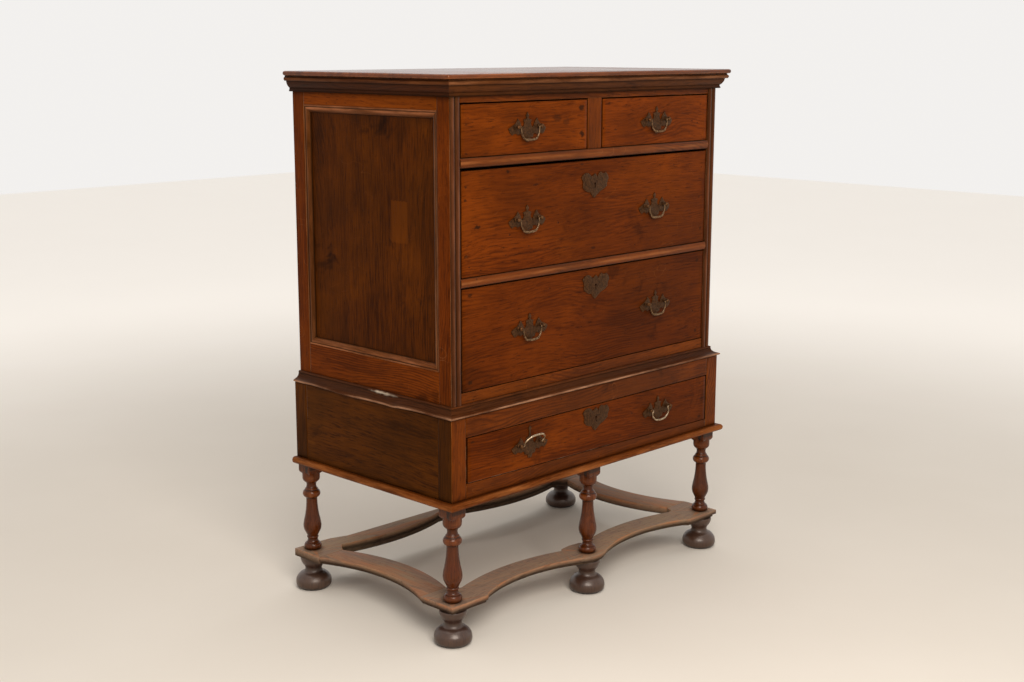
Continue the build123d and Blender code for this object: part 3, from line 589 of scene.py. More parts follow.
def wood(name, along, dark, mid, light, worn, seed=0.0, stains=0.5, wear=0.5, gloss=0.34, marks=0.5,
         ring=0.35, bump=0.25, sheen=0.08, shade_reach=12 * MM, patina=0.5, spots=(), repair=None, tint=WARM):
    """Old waxed wood with its grain along one axis."""
    s = Shader(name)
    place_in_board = s.node("TexCoord").outputs["Object"]
    number = s.plus(s.attribute("board"), seed)
    coords = s.vector("ADD", place_in_board, s.join(*(s.times(number, k) for k in (0.37, 0.59, 0.43))))
    split = s.split(coords)
    grain = s.join(*(split[axis] for axis in GRAIN_ORDER[along]))

    # Growth rings seen along a warped plank, then the grain at three sizes.
    warp = s.minus(s.noise(grain, (1.3, 3.2, 3.2), 2.0), 0.5)
    bent = s.vector("ADD", grain, s.vector("MULTIPLY", s.join(warp, warp, warp), (0.0, 0.10, 0.10)))
    parts = s.split(bent)
    across = s.plus(s.math("POWER", s.plus(parts["Y"], HEART[0]), 2.0),
                    s.math("POWER", s.plus(parts["Z"], HEART[1]), 2.0))
    wander = s.times(s.noise(grain, (7.0, 24.0, 24.0), 2.0), 0.016)
    radius = s.plus(s.math("SQRT", across), wander)
    rings = s.math("SINE", s.times(radius, math.tau / RING_WIDTH))
    rings = s.math("POWER", s.plus(s.times(rings, 0.5), 0.5), 2.2)
    streak = s.noise(bent, (2.4, 46.0, 46.0), 6.0, 0.62)
    fine = s.noise(bent, (15.0, 260.0, 260.0), 5.0, 0.7)
    pores = s.step(s.noise(bent, (26.0, 380.0, 380.0), 3.0, 0.6), 0.55, 0.68)
    blotch = s.noise(coords, (3.0, 3.0, 3.0), 4.0, 0.6, 0.6)
    cloud = s.noise(grain, (4.0, 11.0, 11.0), 3.0, 0.6, 0.8)
    figure = s.step(s.noise(grain, (3.0, 8.0, 8.0), 2.0), 0.42, 0.66)
    tone = s.plus(s.times(streak, 0.34), s.times(fine, 0.56))
    tone = s.plus(tone, s.times(cloud, 0.28))
    tone = s.minus(tone, s.times(s.times(rings, figure), 0.46 * ring))
    tone = s.step(tone, 0.40, 0.72)
    shade = s.mix(tone, colour(*dark), colour(*mid))
    shade = s.mix(s.times(s.step(blotch, 0.42, 0.72), s.range(tone, 0.25, 0.9)), shade, colour(*light))
    shade = s.mix(s.times(pores, 0.62), shade, colour(*scaled(dark, 0.35)))

    # Age, stains, worm holes, knots and scratches.
    age = s.noise(coords, (2.6, 2.6, 3.4), 5.0, 0.6, 0.3)
    aged = colour(*scaled(dark, 0.75, 0.95, 1.1))
    shade = s.mix(s.times(s.step(age, 0.40, 0.66), patina), shade, aged)
    spot = s.noise(coords, (9.0, 9.0, 9.0), 4.0, 0.65, 0.4)
    shade = s.mix(s.times(s.step(spot, 0.60, 0.72), stains), shade, colour(*scaled(dark, 0.22)))
    holes = s.times(s.dots(coords, 17.0, 0.045), marks)
    nicks = s.dots(s.vector("MULTIPLY", grain, (30.0, 75.0, 75.0)), 1.0, 0.10)
    nicks = s.times(s.times(nicks, s.step(s.noise(coords, 6.0, 1.0), 0.52, 0.62)), marks)
    pits = s.math("MAXIMUM", holes, nicks)
    shade = s.mix(pits, shade, colour(*PIT))
    stray = s.minus(s.noise(coords, 130.0, 4.0, 0.7), 0.5)
    stray = s.vector("MULTIPLY", s.join(stray, stray, stray), (0.016, 0.0, 0.012))
    ragged = s.vector("ADD", place_in_board, stray)
    for centre, half, strength in spots:
        shade = s.mix(s.region(ragged, centre, half, strength), shade, colour(*KNOT))
    if repair:
        centre, half = repair
        shade = s.mix(s.region(ragged, centre, half, 0.4, square=True), shade, colour(*light))
    hair = s.noise(coords, (5.0, 5.0, 14.0), 1.0, 0.3, 1.5)
    scratch = s.step(s.math("ABSOLUTE", s.minus(hair, 0.5)), 0.0022, 0.0006)
    scratch = s.times(scratch, s.step(blotch, 0.45, 0.60))
    shade = s.mix(s.times(scratch, 0.35 * marks), shade, colour(*worn))

    # Rubbed edges, painted shade in the hollows, under the mouldings and round the drawers, and bare wood where it has
    # split.
    rubbed = s.noise(grain, (7.0, 60.0, 60.0), 5.0, 0.65)
    edge = s.times(s.attribute("wear"), s.step(rubbed, 0.32, 0.78))
    shade = s.mix(s.times(edge, wear), shade, colour(*worn))
    # Painted shade: ambient occlusion within the reach darkens corners and recesses, on top of the painted shade
    # weighted into the mesh; both also make the surface rougher.
    crevice = s.crevice(shade_reach, only_local=False)
    painted_shade = s.math("MAXIMUM", s.times(s.attribute("painted_shade"), 0.85), s.times(crevice, 1.1))
    shade = s.mix(s.math("MULTIPLY", painted_shade, 0.9, clamp=True), shade, colour(*PAINTED_SHADE_COLOUR))
    bare = s.mix(tone, colour(0.42, 0.32, 0.22), colour(0.72, 0.62, 0.50))
    shade = s.mix(s.attribute("bare"), shade, bare)

    rough = s.plus(s.range(streak, gloss - 0.06, gloss + 0.12), s.times(painted_shade, 0.25))
    rough = s.plus(rough, s.times(s.step(blotch, 0.45, 0.75), 0.10))
    height = s.plus(s.times(fine, 0.35), s.times(streak, 0.9))
    height = s.minus(s.minus(height, s.times(pores, 0.5)), s.times(pits, 1.6))
    return s.finish(shade, rough, height, bump, 0.8 * MM, sheen, tint)


def metal(name, dark, mid, bright, roughness=0.42, metallic=0.9):
    """Old patinated metal, rubbed bright where hands touch it."""
    s = Shader(name)
    coords = s.node("TexCoord").outputs["Object"]
    cloud = s.noise(coords, 190.0, 4.0, 0.65, 0.5)
    grain = s.noise(coords, 420.0, 3.0, 0.65)
    shade = s.mix(s.step(cloud, 0.35, 0.65), colour(*dark), colour(*mid))
    rubbed = s.times(s.attribute("wear"), s.step(grain, 0.42, 0.60))
    shade = s.mix(s.times(rubbed, 0.55), shade, colour(*bright))
    shade = s.mix(s.times(s.crevice(4 * MM), 0.8), shade, colour(*scaled(dark, 0.25)))
    s.bsdf.inputs["Metallic"].default_value = metallic
    rough = s.range(grain, roughness - 0.12, roughness + 0.15)
    height = s.plus(grain, s.times(cloud, 2.0))
    return s.finish(shade, rough, height, 0.55, 0.6 * MM, 0.25, (1.0, 0.72, 0.48))


def tones(red, green, blue, worn, spread=1.0):
    """Dark, middle and light shades round one wood colour, and the colour of its worn edges."""
    low, high = 1 - 0.55 * spread, 1 + 0.45 * spread
    shade = (red, green, blue)
    return dict(dark=(red * low, green * low * 0.9, blue * low), mid=scaled(shade, 1.12),
                light=(red * high, green * high * 1.08, blue * high), worn=worn)


FRONT = tones(0.135, 0.0243, 0.0014, (0.30, 0.095, 0.020))
RAIL = tones(0.130, 0.0255, 0.0016, (0.40, 0.135, 0.038))
FRAME = tones(0.122, 0.0225, 0.0012, (0.58, 0.270, 0.120))
SIDE_RAIL = tones(0.150, 0.0290, 0.0016, (0.40, 0.130, 0.040))
PANEL = tones(0.086, 0.0190, 0.0008, (0.20, 0.060, 0.015), 1.3)
STAND_SIDE = tones(0.082, 0.0215, 0.0010, (0.24, 0.075, 0.020), 1.2)
MOULD = tones(0.066, 0.0170, 0.0030, (0.34, 0.130, 0.050))
# The pale worn colour of the waist's lip is partly worn wood and partly a painted highlight.
WAIST = tones(0.088, 0.0225, 0.0045, (0.56, 0.290, 0.160))
# A darker copy of MOULD for the cornice's side runs: painted shade on the side turned from the light.
MOULD_SIDE_SHADED = tones(0.040, 0.0078, 0.0006, (0.22, 0.070, 0.018))
# A lighter copy of the moulding wood for the top and bottom runs of the panel mouldings: a painted highlight.
PANEL_MOULD_LIT = tones(0.105, 0.0270, 0.0040, (0.42, 0.150, 0.060))
BASE = tones(0.118, 0.0255, 0.0030, (0.46, 0.155, 0.040))
BEAD = tones(0.064, 0.0150, 0.0050, (0.24, 0.090, 0.040))
TURNED = tones(0.098, 0.0195, 0.0024, (0.28, 0.080, 0.018), 0.95)
FOOT = tones(0.054, 0.0240, 0.0140, (0.15, 0.078, 0.046), 0.7)
# Pale, faded stretcher wood, made paler and greyer still to paint in the sky's reflection on their tops.
FADED_AND_GLARE = tones(0.285, 0.1800, 0.1120, (0.46, 0.170, 0.064), 0.55)
LINING = tones(0.330, 0.2000, 0.0950, (0.42, 0.280, 0.160), 0.7)

# Each drawer: the seed and strength of its front's colour, how far its upper edge sags in mm,
# its handles, and the x and z of its keyhole in mm.
DRAWERS = {
    "short_left": (1.3, 0.98, 0.8, ("short_left_bail",), None),
    "short_right": (4.1, 1.40, 0.6, ("short_right_bail",), None),
    "upper_long": (7.9, 0.94, 3.0, ("upper_left_bail", "upper_right_bail"), (2.0, 908.0)),
    "lower_long": (11.2, 0.82, 1.4, ("lower_left_bail", "lower_right_bail"), (8.5, 690.0)),
    "stand": (15.6, 0.92, 0.4, ("stand_left_bail", "stand_right_bail"), (-4.0, 402.0)),
}

# Old nail heads, stains and cracks on each drawer front: how far across and up the front,
# half width and half height in mm, and strength.
SPOTS = {
    "short_left": (
        (0.948, 0.83, 9, 7, 0.8), (0.957, 0.31, 9, 8, 0.85), (0.75, 0.65, 14, 9, 0.45),
        (0.824, 0.57, 11, 8, 0.4), (0.04, 0.60, 4, 2, 0.6), (0.04, 0.06, 4, 3, 0.6),
    ),
    "short_right": (
        (0.12, 0.35, 7, 1.6, 0.7), (0.93, 0.8, 4, 3, 0.5), (0.06, 0.9, 4, 3, 0.5), (0.82, 0.2, 6, 4, 0.35),
    ),
    "upper_long": (
        (0.058, 0.46, 9, 4, 0.85), (0.165, 0.95, 6, 4, 0.8), (0.016, 0.84, 5, 3, 0.7),
        (0.016, 0.72, 5, 3, 0.7), (0.016, 0.20, 5, 4, 0.7), (0.27, 0.80, 10, 2, 0.6),
        (0.31, 0.155, 110, 1.2, 0.5), (0.45, 0.96, 7, 3, 0.6), (0.62, 0.90, 5, 2, 0.4),
        (0.97, 0.50, 5, 3, 0.5), (0.98, 0.15, 5, 4, 0.6), (0.50, 0.11, 8, 4, 0.6),
    ),
    "lower_long": (
        (0.03, 0.93, 6, 4, 0.7), (0.03, 0.08, 8, 5, 0.7), (0.25, 0.62, 7, 2, 0.4), (0.50, 0.85, 9, 3, 0.4),
        (0.97, 0.90, 6, 4, 0.6), (0.97, 0.10, 7, 5, 0.6), (0.72, 0.30, 6, 2, 0.4), (0.38, 0.12, 60, 1.2, 0.4),
    ),
    "stand": (
        (0.02, 0.90, 6, 3, 0.6), (0.02, 0.10, 6, 4, 0.6), (0.30, 0.85, 7, 2, 0.4), (0.60, 0.20, 9, 2, 0.4),
        (0.97, 0.85, 6, 3, 0.5), (0.97, 0.10, 7, 4, 0.6),
    ),
}


def front_spots(name):
    low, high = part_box(name + "_drawer_front")
    spots = []
    for across, up, wide, tall, strength in SPOTS[name]:
        centre = (low.x + across * (high.x - low.x), low.y, low.z + up * (high.z - low.z))
        spots.append((centre, (wide * MM, 30 * MM, tall * MM), strength))
    return spots


def panel_repair():
    """An old let-in patch towards the front of the left side panel."""
    low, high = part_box("side_panels")
    centre = (low.x, low.y + 0.30 * (high.y - low.y), low.z + 0.56 * (high.z - low.z))
    return centre, (20 * MM, 24 * MM, 42 * MM)


def woods(name, along, seeds, **settings):
    """The same wood with its grain along each axis in turn."""
    return [wood(name + "_wood_" + axis, axis, seed=seed, **settings) for axis, seed in zip(along, seeds)]


def front_woods():
    result = {}
    for name, (seed, strength, _, _, _) in DRAWERS.items():
        shades = {key: scaled(value, strength) for key, value in FRONT.items()}
        result[name] = wood("front_wood_" + name, "x", seed=seed, marks=0.8, patina=0.45, sheen=0.06,
                            ring=0.28, spots=front_spots(name), **shades)
    return result


front_wood = front_woods()
rail_x, rail_z = woods("rail", "xz", (2.0, 3.1), wear=0.8, sheen=0.12, **RAIL)
side_y = wood("side_wood_y", "y", seed=5.2, stains=0.6, wear=0.9, sheen=0.04, patina=0.3, **SIDE_RAIL)
side_z = wood("side_wood_z", "z", seed=6.4, stains=0.6, wear=1.0, sheen=0.04, patina=0.3, **FRAME)
# A wide reach for the painted shade darkens the stand side boards near the parts round them.
stand_side_y = wood("stand_side_wood_y", "y", seed=7.4, stains=0.6, ring=0.12, shade_reach=30 * MM, sheen=0.05,
                    **STAND_SIDE)
stand_side_z = wood("stand_side_wood_z", "z", seed=28.1, stains=0.6, sheen=0.05, wear=0.8, **STAND_SIDE)
# A wide reach for the painted shade darkens the panel's borders next to its mouldings and frame.
panel_z = wood("panel_wood_z", "z", seed=8.8, stains=0.8, ring=0.25, shade_reach=40 * MM, sheen=0.04,
               repair=panel_repair(), **PANEL)
waist_woods = woods("waist", "xy", (30.2, 31.7), stains=0.4, wear=0.9, sheen=0.10, **WAIST)
base_woods = woods("base", "xy", (26.3, 27.5), stains=0.3, wear=0.8, marks=0.3, sheen=0.06, **BASE)
MOULDED = dict(stains=0.3, marks=0.3, patina=0.3)
mould_x = wood("moulding_wood_x", "x", seed=9.3, wear=0.75, sheen=0.12, **MOULDED, **MOULD)
# Darker moulding wood for the cornice's side runs, painted shade.
shaded_mould_y = wood("moulding_wood_y", "y", seed=10.5, wear=0.75, sheen=0.10, **MOULDED, **MOULD_SIDE_SHADED)
mould_z = wood("moulding_wood_z", "z", seed=12.7, wear=0.45, sheen=0.12, **MOULDED, **MOULD)
# Lighter and strongly worn, painting in the highlight along the panel mouldings' top and bottom runs.
lit_panel_mould_y = wood("lit_panel_moulding_wood_y", "y", seed=29.4, wear=1.0, sheen=0.12, **MOULDED, **PANEL_MOULD_LIT)
bead_x = wood("bead_wood_x", "x", seed=13.1, stains=0.4, wear=0.6, marks=0.6, sheen=0.25, gloss=0.26, **RAIL)
bead_z = wood("bead_wood_z", "z", seed=14.9, stains=0.3, wear=0.6, marks=0.3, sheen=0.25, gloss=0.26, **BEAD)
top_x = wood("top_wood_x", "x", seed=16.3, stains=0.3, gloss=0.17, wear=0.4, sheen=0.3, bump=0.08,
             tint=NEUTRAL, **RAIL)
turned_z = wood("turned_wood_z", "z", seed=17.7, stains=0.2, gloss=0.17, wear=0.6, marks=0.2, bump=0.08,
                ring=0.2, sheen=0.28, tint=NEUTRAL, **TURNED)
foot_z = wood("foot_wood_z", "z", seed=18.5, stains=0.3, gloss=0.29, wear=0.3, marks=0.3, bump=0.08, ring=0.1,
              sheen=0.7, patina=0.2, tint=NEUTRAL, **FOOT)
# Stretcher wood with little specular, its paler colour standing in for part of the reflection on the tops.
faded_glare_x, faded_glare_y = woods("stretcher", "xy", (19.2, 20.6), stains=0.4, gloss=0.48, wear=0.9, sheen=0.10,
                         ring=0.15, patina=0.15, tint=NEUTRAL, **FADED_AND_GLARE)
linings = woods("lining", "xyz", (21.4, 22.8, 23.6), stains=0.3, gloss=0.62, wear=0.3, marks=0.4, sheen=0.3,
                **LINING)
brass = metal("aged_brass", (0.017, 0.0062, 0.0020), (0.060, 0.0225, 0.0075), (0.21, 0.090, 0.032),
              metallic=0.4)
bail_brass = metal("handled_brass", (0.045, 0.022, 0.010), (0.12, 0.064, 0.031), (0.46, 0.30, 0.17),
                   roughness=0.33, metallic=0.8)
# Brighter brass for the stand's bails, partly polished by use and partly a painted highlight.
rubbed_and_glinting_brass = metal("rubbed_and_glinting_brass", (0.16, 0.10, 0.055), (0.36, 0.25, 0.15), (0.86, 0.72, 0.52),
                     roughness=0.28, metallic=0.85)
iron = metal("old_iron", (0.030, 0.022, 0.018), (0.07, 0.045, 0.032), (0.18, 0.15, 0.13), roughness=0.55)


# ---------------------------------------------------------------- upper case
def top_board():
    shape = boards(Shape(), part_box("top_board"), radius=4.6 * MM, step=0.04, wave=0.3 * MM)
    place(shape, "top_board", "top_wood", top_x)


def three_runs(profile, half, front, z, step=0.015, bend=None):
    """Front, left and right runs of a moulding mitred at the front corners."""
    shape = Shape()
    runs = (
        ((half, front), (-half, front), (0, -1, 0), (True, True), 0),
        ((-half, front), (-half, BACK_Y), (-1, 0, 0), (True, False), 1),
        ((half, front), (half, BACK_Y), (1, 0, 0), (True, False), 1),
    )
    for a, b, out, mitres, slot in runs:
        shape.add(*moulding_run(profile, (*a, z), (*b, z), out, mitres, step, bend=bend), slot=slot)
    return shape


def small_wobble(size):
    """Hand-planed unevenness, strongest on the parts that stand out."""
    def bend(p, d, h):
        push = (noise.noise(p * 7) * 0.5 + 0.5) + 0.6 * (noise.noise(p * 55) * 0.5 + 0.5)
        reach = min(1.0, d / (10 * MM))
        beside = abs(p.x) > CASE_HALF + 0.5 * MM
        away = Vector((1 if p.x > 0 else -1, 0, 0)) if beside else Vector((0, -1, 0))
        return p - away * size * push * reach
    return bend


def cornice():
    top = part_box("cornice_moulding")[1].z
    profile = outline(
        (0, 0), (18.6, 0), (19, -0.4), (19, -2.1), ((19.1, -2.5), (19.5, -2.5)),
        ((22, -6.1), (20.5, -10)), (20.0, -10.6), (15.5, -11), ((12.5, -20), (7, -26)),
        ((7.6, -28.8), (8.7, -31.2)), ((9.0, -31.8), (8.7, -32.3)), (7, -33), (0, -33),
    )
    shape = three_runs(profile, CASE_HALF, FRONT_Y, top, bend=small_wobble(0.35 * MM))
    # The side runs take the darker copy of the moulding wood, painted shade.
    place(shape, "cornice_moulding", "moulding_wood", mould_x, shaded_mould_y)


def side_frames():
    """Upright stiles at the front and back, with a rail above and below the panel."""
    inner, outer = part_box("side_panel_mouldings")
    for side in ("left", "right"):
        node = side + "_side_frame"
        (x0, y0, z0), (x1, y1, z1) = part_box(node)
        stiles = ((x0, y0, z0), (x1, inner.y, z1)), ((x0, outer.y, z0), (x1, y1, z1))
        rails = ((x0, inner.y, outer.z), (x1, outer.y, z1)), ((x0, inner.y, z0), (x1, outer.y, inner.z))
        shape = boards(Shape(), *stiles, radius=1.3 * MM)
        boards(shape, *rails, radius=0.7 * MM, slot=1)
        place(shape, node, "side_wood", side_z, side_y)


def side_panels():
    low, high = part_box("side_panels")
    pair = both_sides((high.x - PANEL_BOARD, low.y, low.z), high)
    shape = boards(Shape(), *pair, radius=0.6 * MM, step=0.03, wave=0.5 * MM)
    place(shape, "side_panels", "side_wood", panel_z)


def panel_mouldings():
    """Four mitred lengths of ovolo round each panel."""
    low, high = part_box("side_panel_mouldings")
    profile = outline(
        (0, 0), (0, 7.7), (0.3, 8), (2.7, 8), (3.2, 7.6), (3.6, 6.7), ((10.8, 6.2), (13.5, 2.2)),
        (15.2, 1.9), (15.5, 1.5), (15.5, 0),
    )
    # Lighter wear on the top flat and on the round of the ovolo, partly worn edges and partly painted highlight lines;
    # painted shade at its foot by the panel and in the step near its top.
    wear = [1.0 if h > 7 else (0.5 if 9 < d < 14 else 0.0) for d, h in profile]
    painted_shade = [1.0 if d > 14.9 or 3 < d < 4.2 else 0.0 for d, h in profile]
    shape = Shape()
    corners = [(low.y, low.z), (high.y, low.z), (high.y, high.z), (low.y, high.z)]
    inward = [(0, 1), (-1, 0), (0, -1), (1, 0)]
    for side in (-1, 1):
        face = side * (high.x - PANEL_BOARD)
        for i in range(4):
            a, b, n = Vector(corners[i]), Vector(corners[(i + 1) % 4]), Vector(inward[i])
            along = (b - a).normalized()
            length = (b - a).length
            count = max(2, round(length / 0.02))
            points = []
            for s in range(count + 1):
                for d, h in profile:
                    d, h = d * MM, h * MM
                    q = a + along * (d + (length - 2 * d) * s / count) + n * d
                    points.append((face + side * h, q.x, q.y))
            faces = loft_faces(count + 1, len(profile))
            shape.add(points, faces, wear * (count + 1), painted_shade * (count + 1), slot=i % 2)
    # The top and bottom runs take the lighter moulding wood, a painted highlight.
    place(shape, "side_panel_mouldings", "moulding_wood", lit_panel_mould_y, mould_z)


def divider_heights():
    """Bottom and top of the upper and the lower divider rail."""
    low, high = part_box("divider_rails")
    return (high.z - UPPER_DIVIDER, high.z), (low.z, low.z + LOWER_DIVIDER)


def rail_boards(node, heights, **settings):
    """Front boards as wide as a node, between each pair of heights."""
    low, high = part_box(node)
    pairs = [((low.x, low.y, bottom), (high.x, high.y, top)) for bottom, top in heights]
    place(boards(Shape(), *pairs, **settings), node, "case_wood", rail_x)


def front_rails():
    low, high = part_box("upper_front_rails")
    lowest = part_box("lower_long_drawer_front")[0].z - 1.5 * MM
    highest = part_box("short_drawer_muntin")[1].z
    rail_boards("upper_front_rails", ((highest, high.z), (low.z, lowest)), radius=0.8 * MM, step=0.03)
    rail_boards("divider_rails", divider_heights(), radius=0.6 * MM)
    shape = boards(Shape(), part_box("short_drawer_muntin"), radius=0.8 * MM, step=0.02)
    place(shape, "short_drawer_muntin", "case_wood", rail_z)


def bead_mouldings():
    """Double beads up the stiles and a single bead along each divider."""
    low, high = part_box("bead_mouldings")
    opening = -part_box("divider_rails")[0].x
    width = (CASE_HALF - opening) / MM
    middle = width / 2
    double = outline(
        (0, 0), (0, 0.8), ((6.3, 4.0), (middle - 0.5, 0.9)), ((middle, 0.4), (middle + 0.5, 0.9)),
        ((width - 6.3, 4.0), (width, 0.8)), (width, 0), count=9,
    )
    rows = 41
    # Lighter wear on the crests of the beads, painted shade in the quirks and at their feet.
    wear = [max(0.0, (rise - 3.2) / 0.8) for _, rise in double] * rows
    painted_shade = [clamped((2.3 - rise) / 0.9) for _, rise in double] * rows
    shape = Shape()
    for side in (-1, 1):
        points = []
        for s in range(rows):
            z = low.z + (high.z - low.z) * s / (rows - 1)
            for u, rise in double:
                x = side * (opening + u * MM)
                dent = 0.35 * MM * (noise.noise(Vector((x * 20, side, z * 11))) * 0.5 + 0.5)
                points.append((x, FRONT_Y - rise * MM + dent * min(1.0, rise / 2), z))
        shape.add(points, loft_faces(rows, len(double)), wear, painted_shade)
    for bottom, top in divider_heights():
        half = (top - bottom) / 2 / MM
        single = outline((0, -half), (0.8, -half), ((4.0, 0), (0.8, half)), (0, half), count=14)
        right, left = ((x, FRONT_Y, (top + bottom) / 2) for x in (opening, -opening))
        points, faces, wear, _ = moulding_run(single, right, left, (0, -1, 0), (False, False),
                                              bend=small_wobble(0.5 * MM))
        # Painted shade along the foot of the divider bead.
        painted_shade = [clamped((2.0 - (FRONT_Y - p[1]) / MM) / 0.9) for p in points]
        shape.add(points, faces, wear, painted_shade, slot=1)
    place(shape, "bead_mouldings", "moulding_wood", bead_z, bead_x)


# ---------------------------------------------------------------- stand
def bell(distance, width, power=2):
    """1 at no distance, falling away over the width."""
    return math.exp(-(distance / width) ** power)


def bare_paint(mesh, amount):
    """Paints bare wood by the amount worked out for each vertex."""
    bare = mesh.attributes.new("bare", "FLOAT", "POINT")
    for vertex in mesh.vertices:
        bare.data[vertex.index].value = amount(vertex.co)


def waist():
    """Waist moulding; its left run is warped, with a splinter missing from the lip."""
    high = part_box("waist_moulding")[1]
    profile = outline(
        (0, 0), (2, 0), ((4.6, -1.61), (4.4, -4.6)), ((6.8, -10.6), (12, -14.6)), (19.2, -17.2),
        ((21.2, -19.4), (19.6, -21.4)), (18.4, -21.9), (16.4, -22.7), (16, -23), (0, -23),
    )
    chip_y = FRONT_Y + 205 * MM
    chip = Vector((-CASE_HALF - 4 * MM, chip_y, high.z - 4 * MM))
    wobble = small_wobble(0.5 * MM)

    def bend(p, d, h):
        p = wobble(p, d, h)
        lip = clamped((d - 5 * MM) / (12 * MM))
        if p.x < -CASE_HALF - 1 * MM:
            ease = min(1.0, (p.y - FRONT_Y + 22 * MM) / (60 * MM))
            p.x += 2.2 * MM * lip * ease * (0.5 + 0.5 * noise.noise(Vector((3.1, p.y * 12, 0))))
            if h > -22.5 * MM:
                p.z += 3.0 * MM * lip * ease * noise.noise(Vector((7.7, p.y * 11, 0)))
                p.z -= 3.2 * MM * lip * bell(p.y - chip_y - 90 * MM, 110 * MM)
                nick = bell(p.y - chip_y + 45 * MM, 16 * MM)
                dent = bell(p.y - chip_y, 22 * MM, 4) * bell(d - 9 * MM, 4 * MM)
                p.z -= 2.2 * MM * lip * nick
                p.x += 2.6 * MM * lip * nick + 1.6 * MM * dent
        return p

    def splintered(co):
        offset = co - chip
        reach = Vector((offset.x / (6 * MM), offset.y / (34 * MM), offset.z / (2.6 * MM))).length
        return clamped(1.25 - reach - 0.5 * noise.noise(co * 140))

    mesh = three_runs(profile, CASE_HALF, FRONT_Y, high.z, step=0.004, bend=bend).mesh("waist_moulding")
    bare_paint(mesh, splintered)
    place(mesh, "waist_moulding", "moulding_wood", *waist_woods)


def stand_slope():
    """How steeply the lower edge of the stand drawer falls towards the right."""
    low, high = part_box("stand_drawer_front")
    return STAND_DROP / (high.x - low.x)


def stand_frame():
    low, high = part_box("stand_posts")
    corners = []
    for x in (low.x, high.x - POST_SIDE):
        for y in (low.y, high.y - POST_SIDE):
            corners.append(((x, y, low.z), (x + POST_SIDE, y + POST_SIDE, high.z)))
    posts = boards(Shape(), *corners, radius=1.5 * MM).mesh("stand_posts")
    for face in posts.polygons:
        face.material_index = int(abs(face.normal.x) > 0.7)
    place(posts, "stand_posts", "case_wood", rail_z, stand_side_z)
    low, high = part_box("stand_side_boards")
    pair = both_sides((high.x - SIDE_BOARD, low.y, low.z), high)
    shape = boards(Shape(), *pair, radius=0.8 * MM, step=0.03, wave=0.4 * MM)
    place(shape, "stand_side_boards", "side_wood", stand_side_y)

    low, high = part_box("stand_front_rails")
    drawer_low, drawer_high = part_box("stand_drawer_front")
    slope = stand_slope()
    lower_top = drawer_low.z + STAND_DROP - 1 * MM + slope * (drawer_low.x - low.x)

    def lean(p):
        rise = (p.z - low.z) / (lower_top - low.z)
        return Vector((p.x, p.y, p.z - slope * (p.x - low.x) * rise))

    upper = ((low.x, low.y, drawer_high.z + 1.2 * MM), (high.x, low.y + 26 * MM, high.z))
    shape = boards(Shape(), upper, radius=0.9 * MM, step=0.03)
    boards(shape, (low, (high.x, high.y, lower_top)), radius=0.9 * MM, step=0.03, bend=lean)
    place(shape, "stand_front_rails", "case_wood", rail_x)


def base_moulding():
    profile = outline(
        (-50, 0), (6.2, 0), ((10.6, 1.4), (13.0, 5.0)), ((13.4, 8.2), (12.2, 11.6)), ((9.6, 14.2), (6, 15)),
        (-50, 15),
    )
    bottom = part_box("base_moulding")[0].z
    shape = three_runs(profile, STAND_HALF, STAND_Y, bottom, bend=small_wobble(0.5 * MM))
    place(shape, "base_moulding", "moulding_wood", *base_woods)


LEG_NAMES = ("front_left", "front_middle", "front_right", "back_left", "back_right")


def node_centre(node):
    low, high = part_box(node)
    return (low + high) / 2


def legs():
    """Turned legs, each with a square block on top that is scooped in to meet the turning."""
    profile = outline(
        (0, 51), (8, 51), (8, 89.9), (16.2, 89.9), (16.6, 90.3), ((19.4, 98), (17.3, 104)), (16.6, 104.7),
        (14.9, 105), (14.5, 105.4), (14.5, 106.6), (14.1, 107), ((11.6, 110.5), (11.2, 115.5)),
        ((12.9, 118), (11.6, 121)),
        ((14.8, 128), (18.6, 136), (20, 145), (18.9, 155), (15.8, 170), (13.6, 185), (12.5, 199),
         (12.4, 208)),
        (12.9, 210), (13.4, 210.8), ((19.7, 219.5), (14.9, 228.4)), (14.5, 229.2), (14.5, 230.6),
        (14.1, 231.2), (12.4, 233), ((10.6, 240), (12.5, 246)), ((17.4, 250), (19.4, 257)), (19.4, 272),
        (0, 272), count=7,
    )
    half = 19.5 * MM
    for name in LEG_NAMES:
        node = name + "_leg"
        centre = node_centre(node)

        def scoop(p, centre=centre):
            inset = 6.5 * MM * max(0.0, (273.5 * MM - p.z) / (9.5 * MM)) ** 2
            keep = 1 - inset / half
            return Vector((centre.x + (p.x - centre.x) * keep, centre.y + (p.y - centre.y) * keep, p.z))

        block = ((centre.x - half, centre.y - half, 264 * MM), (centre.x + half, centre.y + half, 291 * MM))
        block = boards(Shape(), block, radius=1.2 * MM, step=0.002, bend=scoop)
        shaft = Shape().add(*turning(profile, centre, tilt=centre.x * 9))
        mesh = boolean(shaft.mesh(node), [block.mesh(node + "_block")], node, "UNION")
        place(mesh, node, "turned_wood", turned_z)


def feet():
    profile = outline(
        (0, 0), (30, 0), (31.5, 0.5), ((38.3, 7), (39.7, 15), (37.8, 24), (31, 32.5), (22.5, 37)),
        ((19.2, 41), (18.8, 48)), ((21, 52), (25.3, 58), (28.2, 66), (28.3, 71)), (27.6, 72.6), (26.5, 73),
        (0, 73), count=7,
    )
    for name in LEG_NAMES:
        node = name + "_foot"
        centre = node_centre(node)
        shape = Shape().add(*turning(profile, centre, tilt=centre.y * 7 + centre.x))
        place(shape, node, "foot_wood", foot_z)


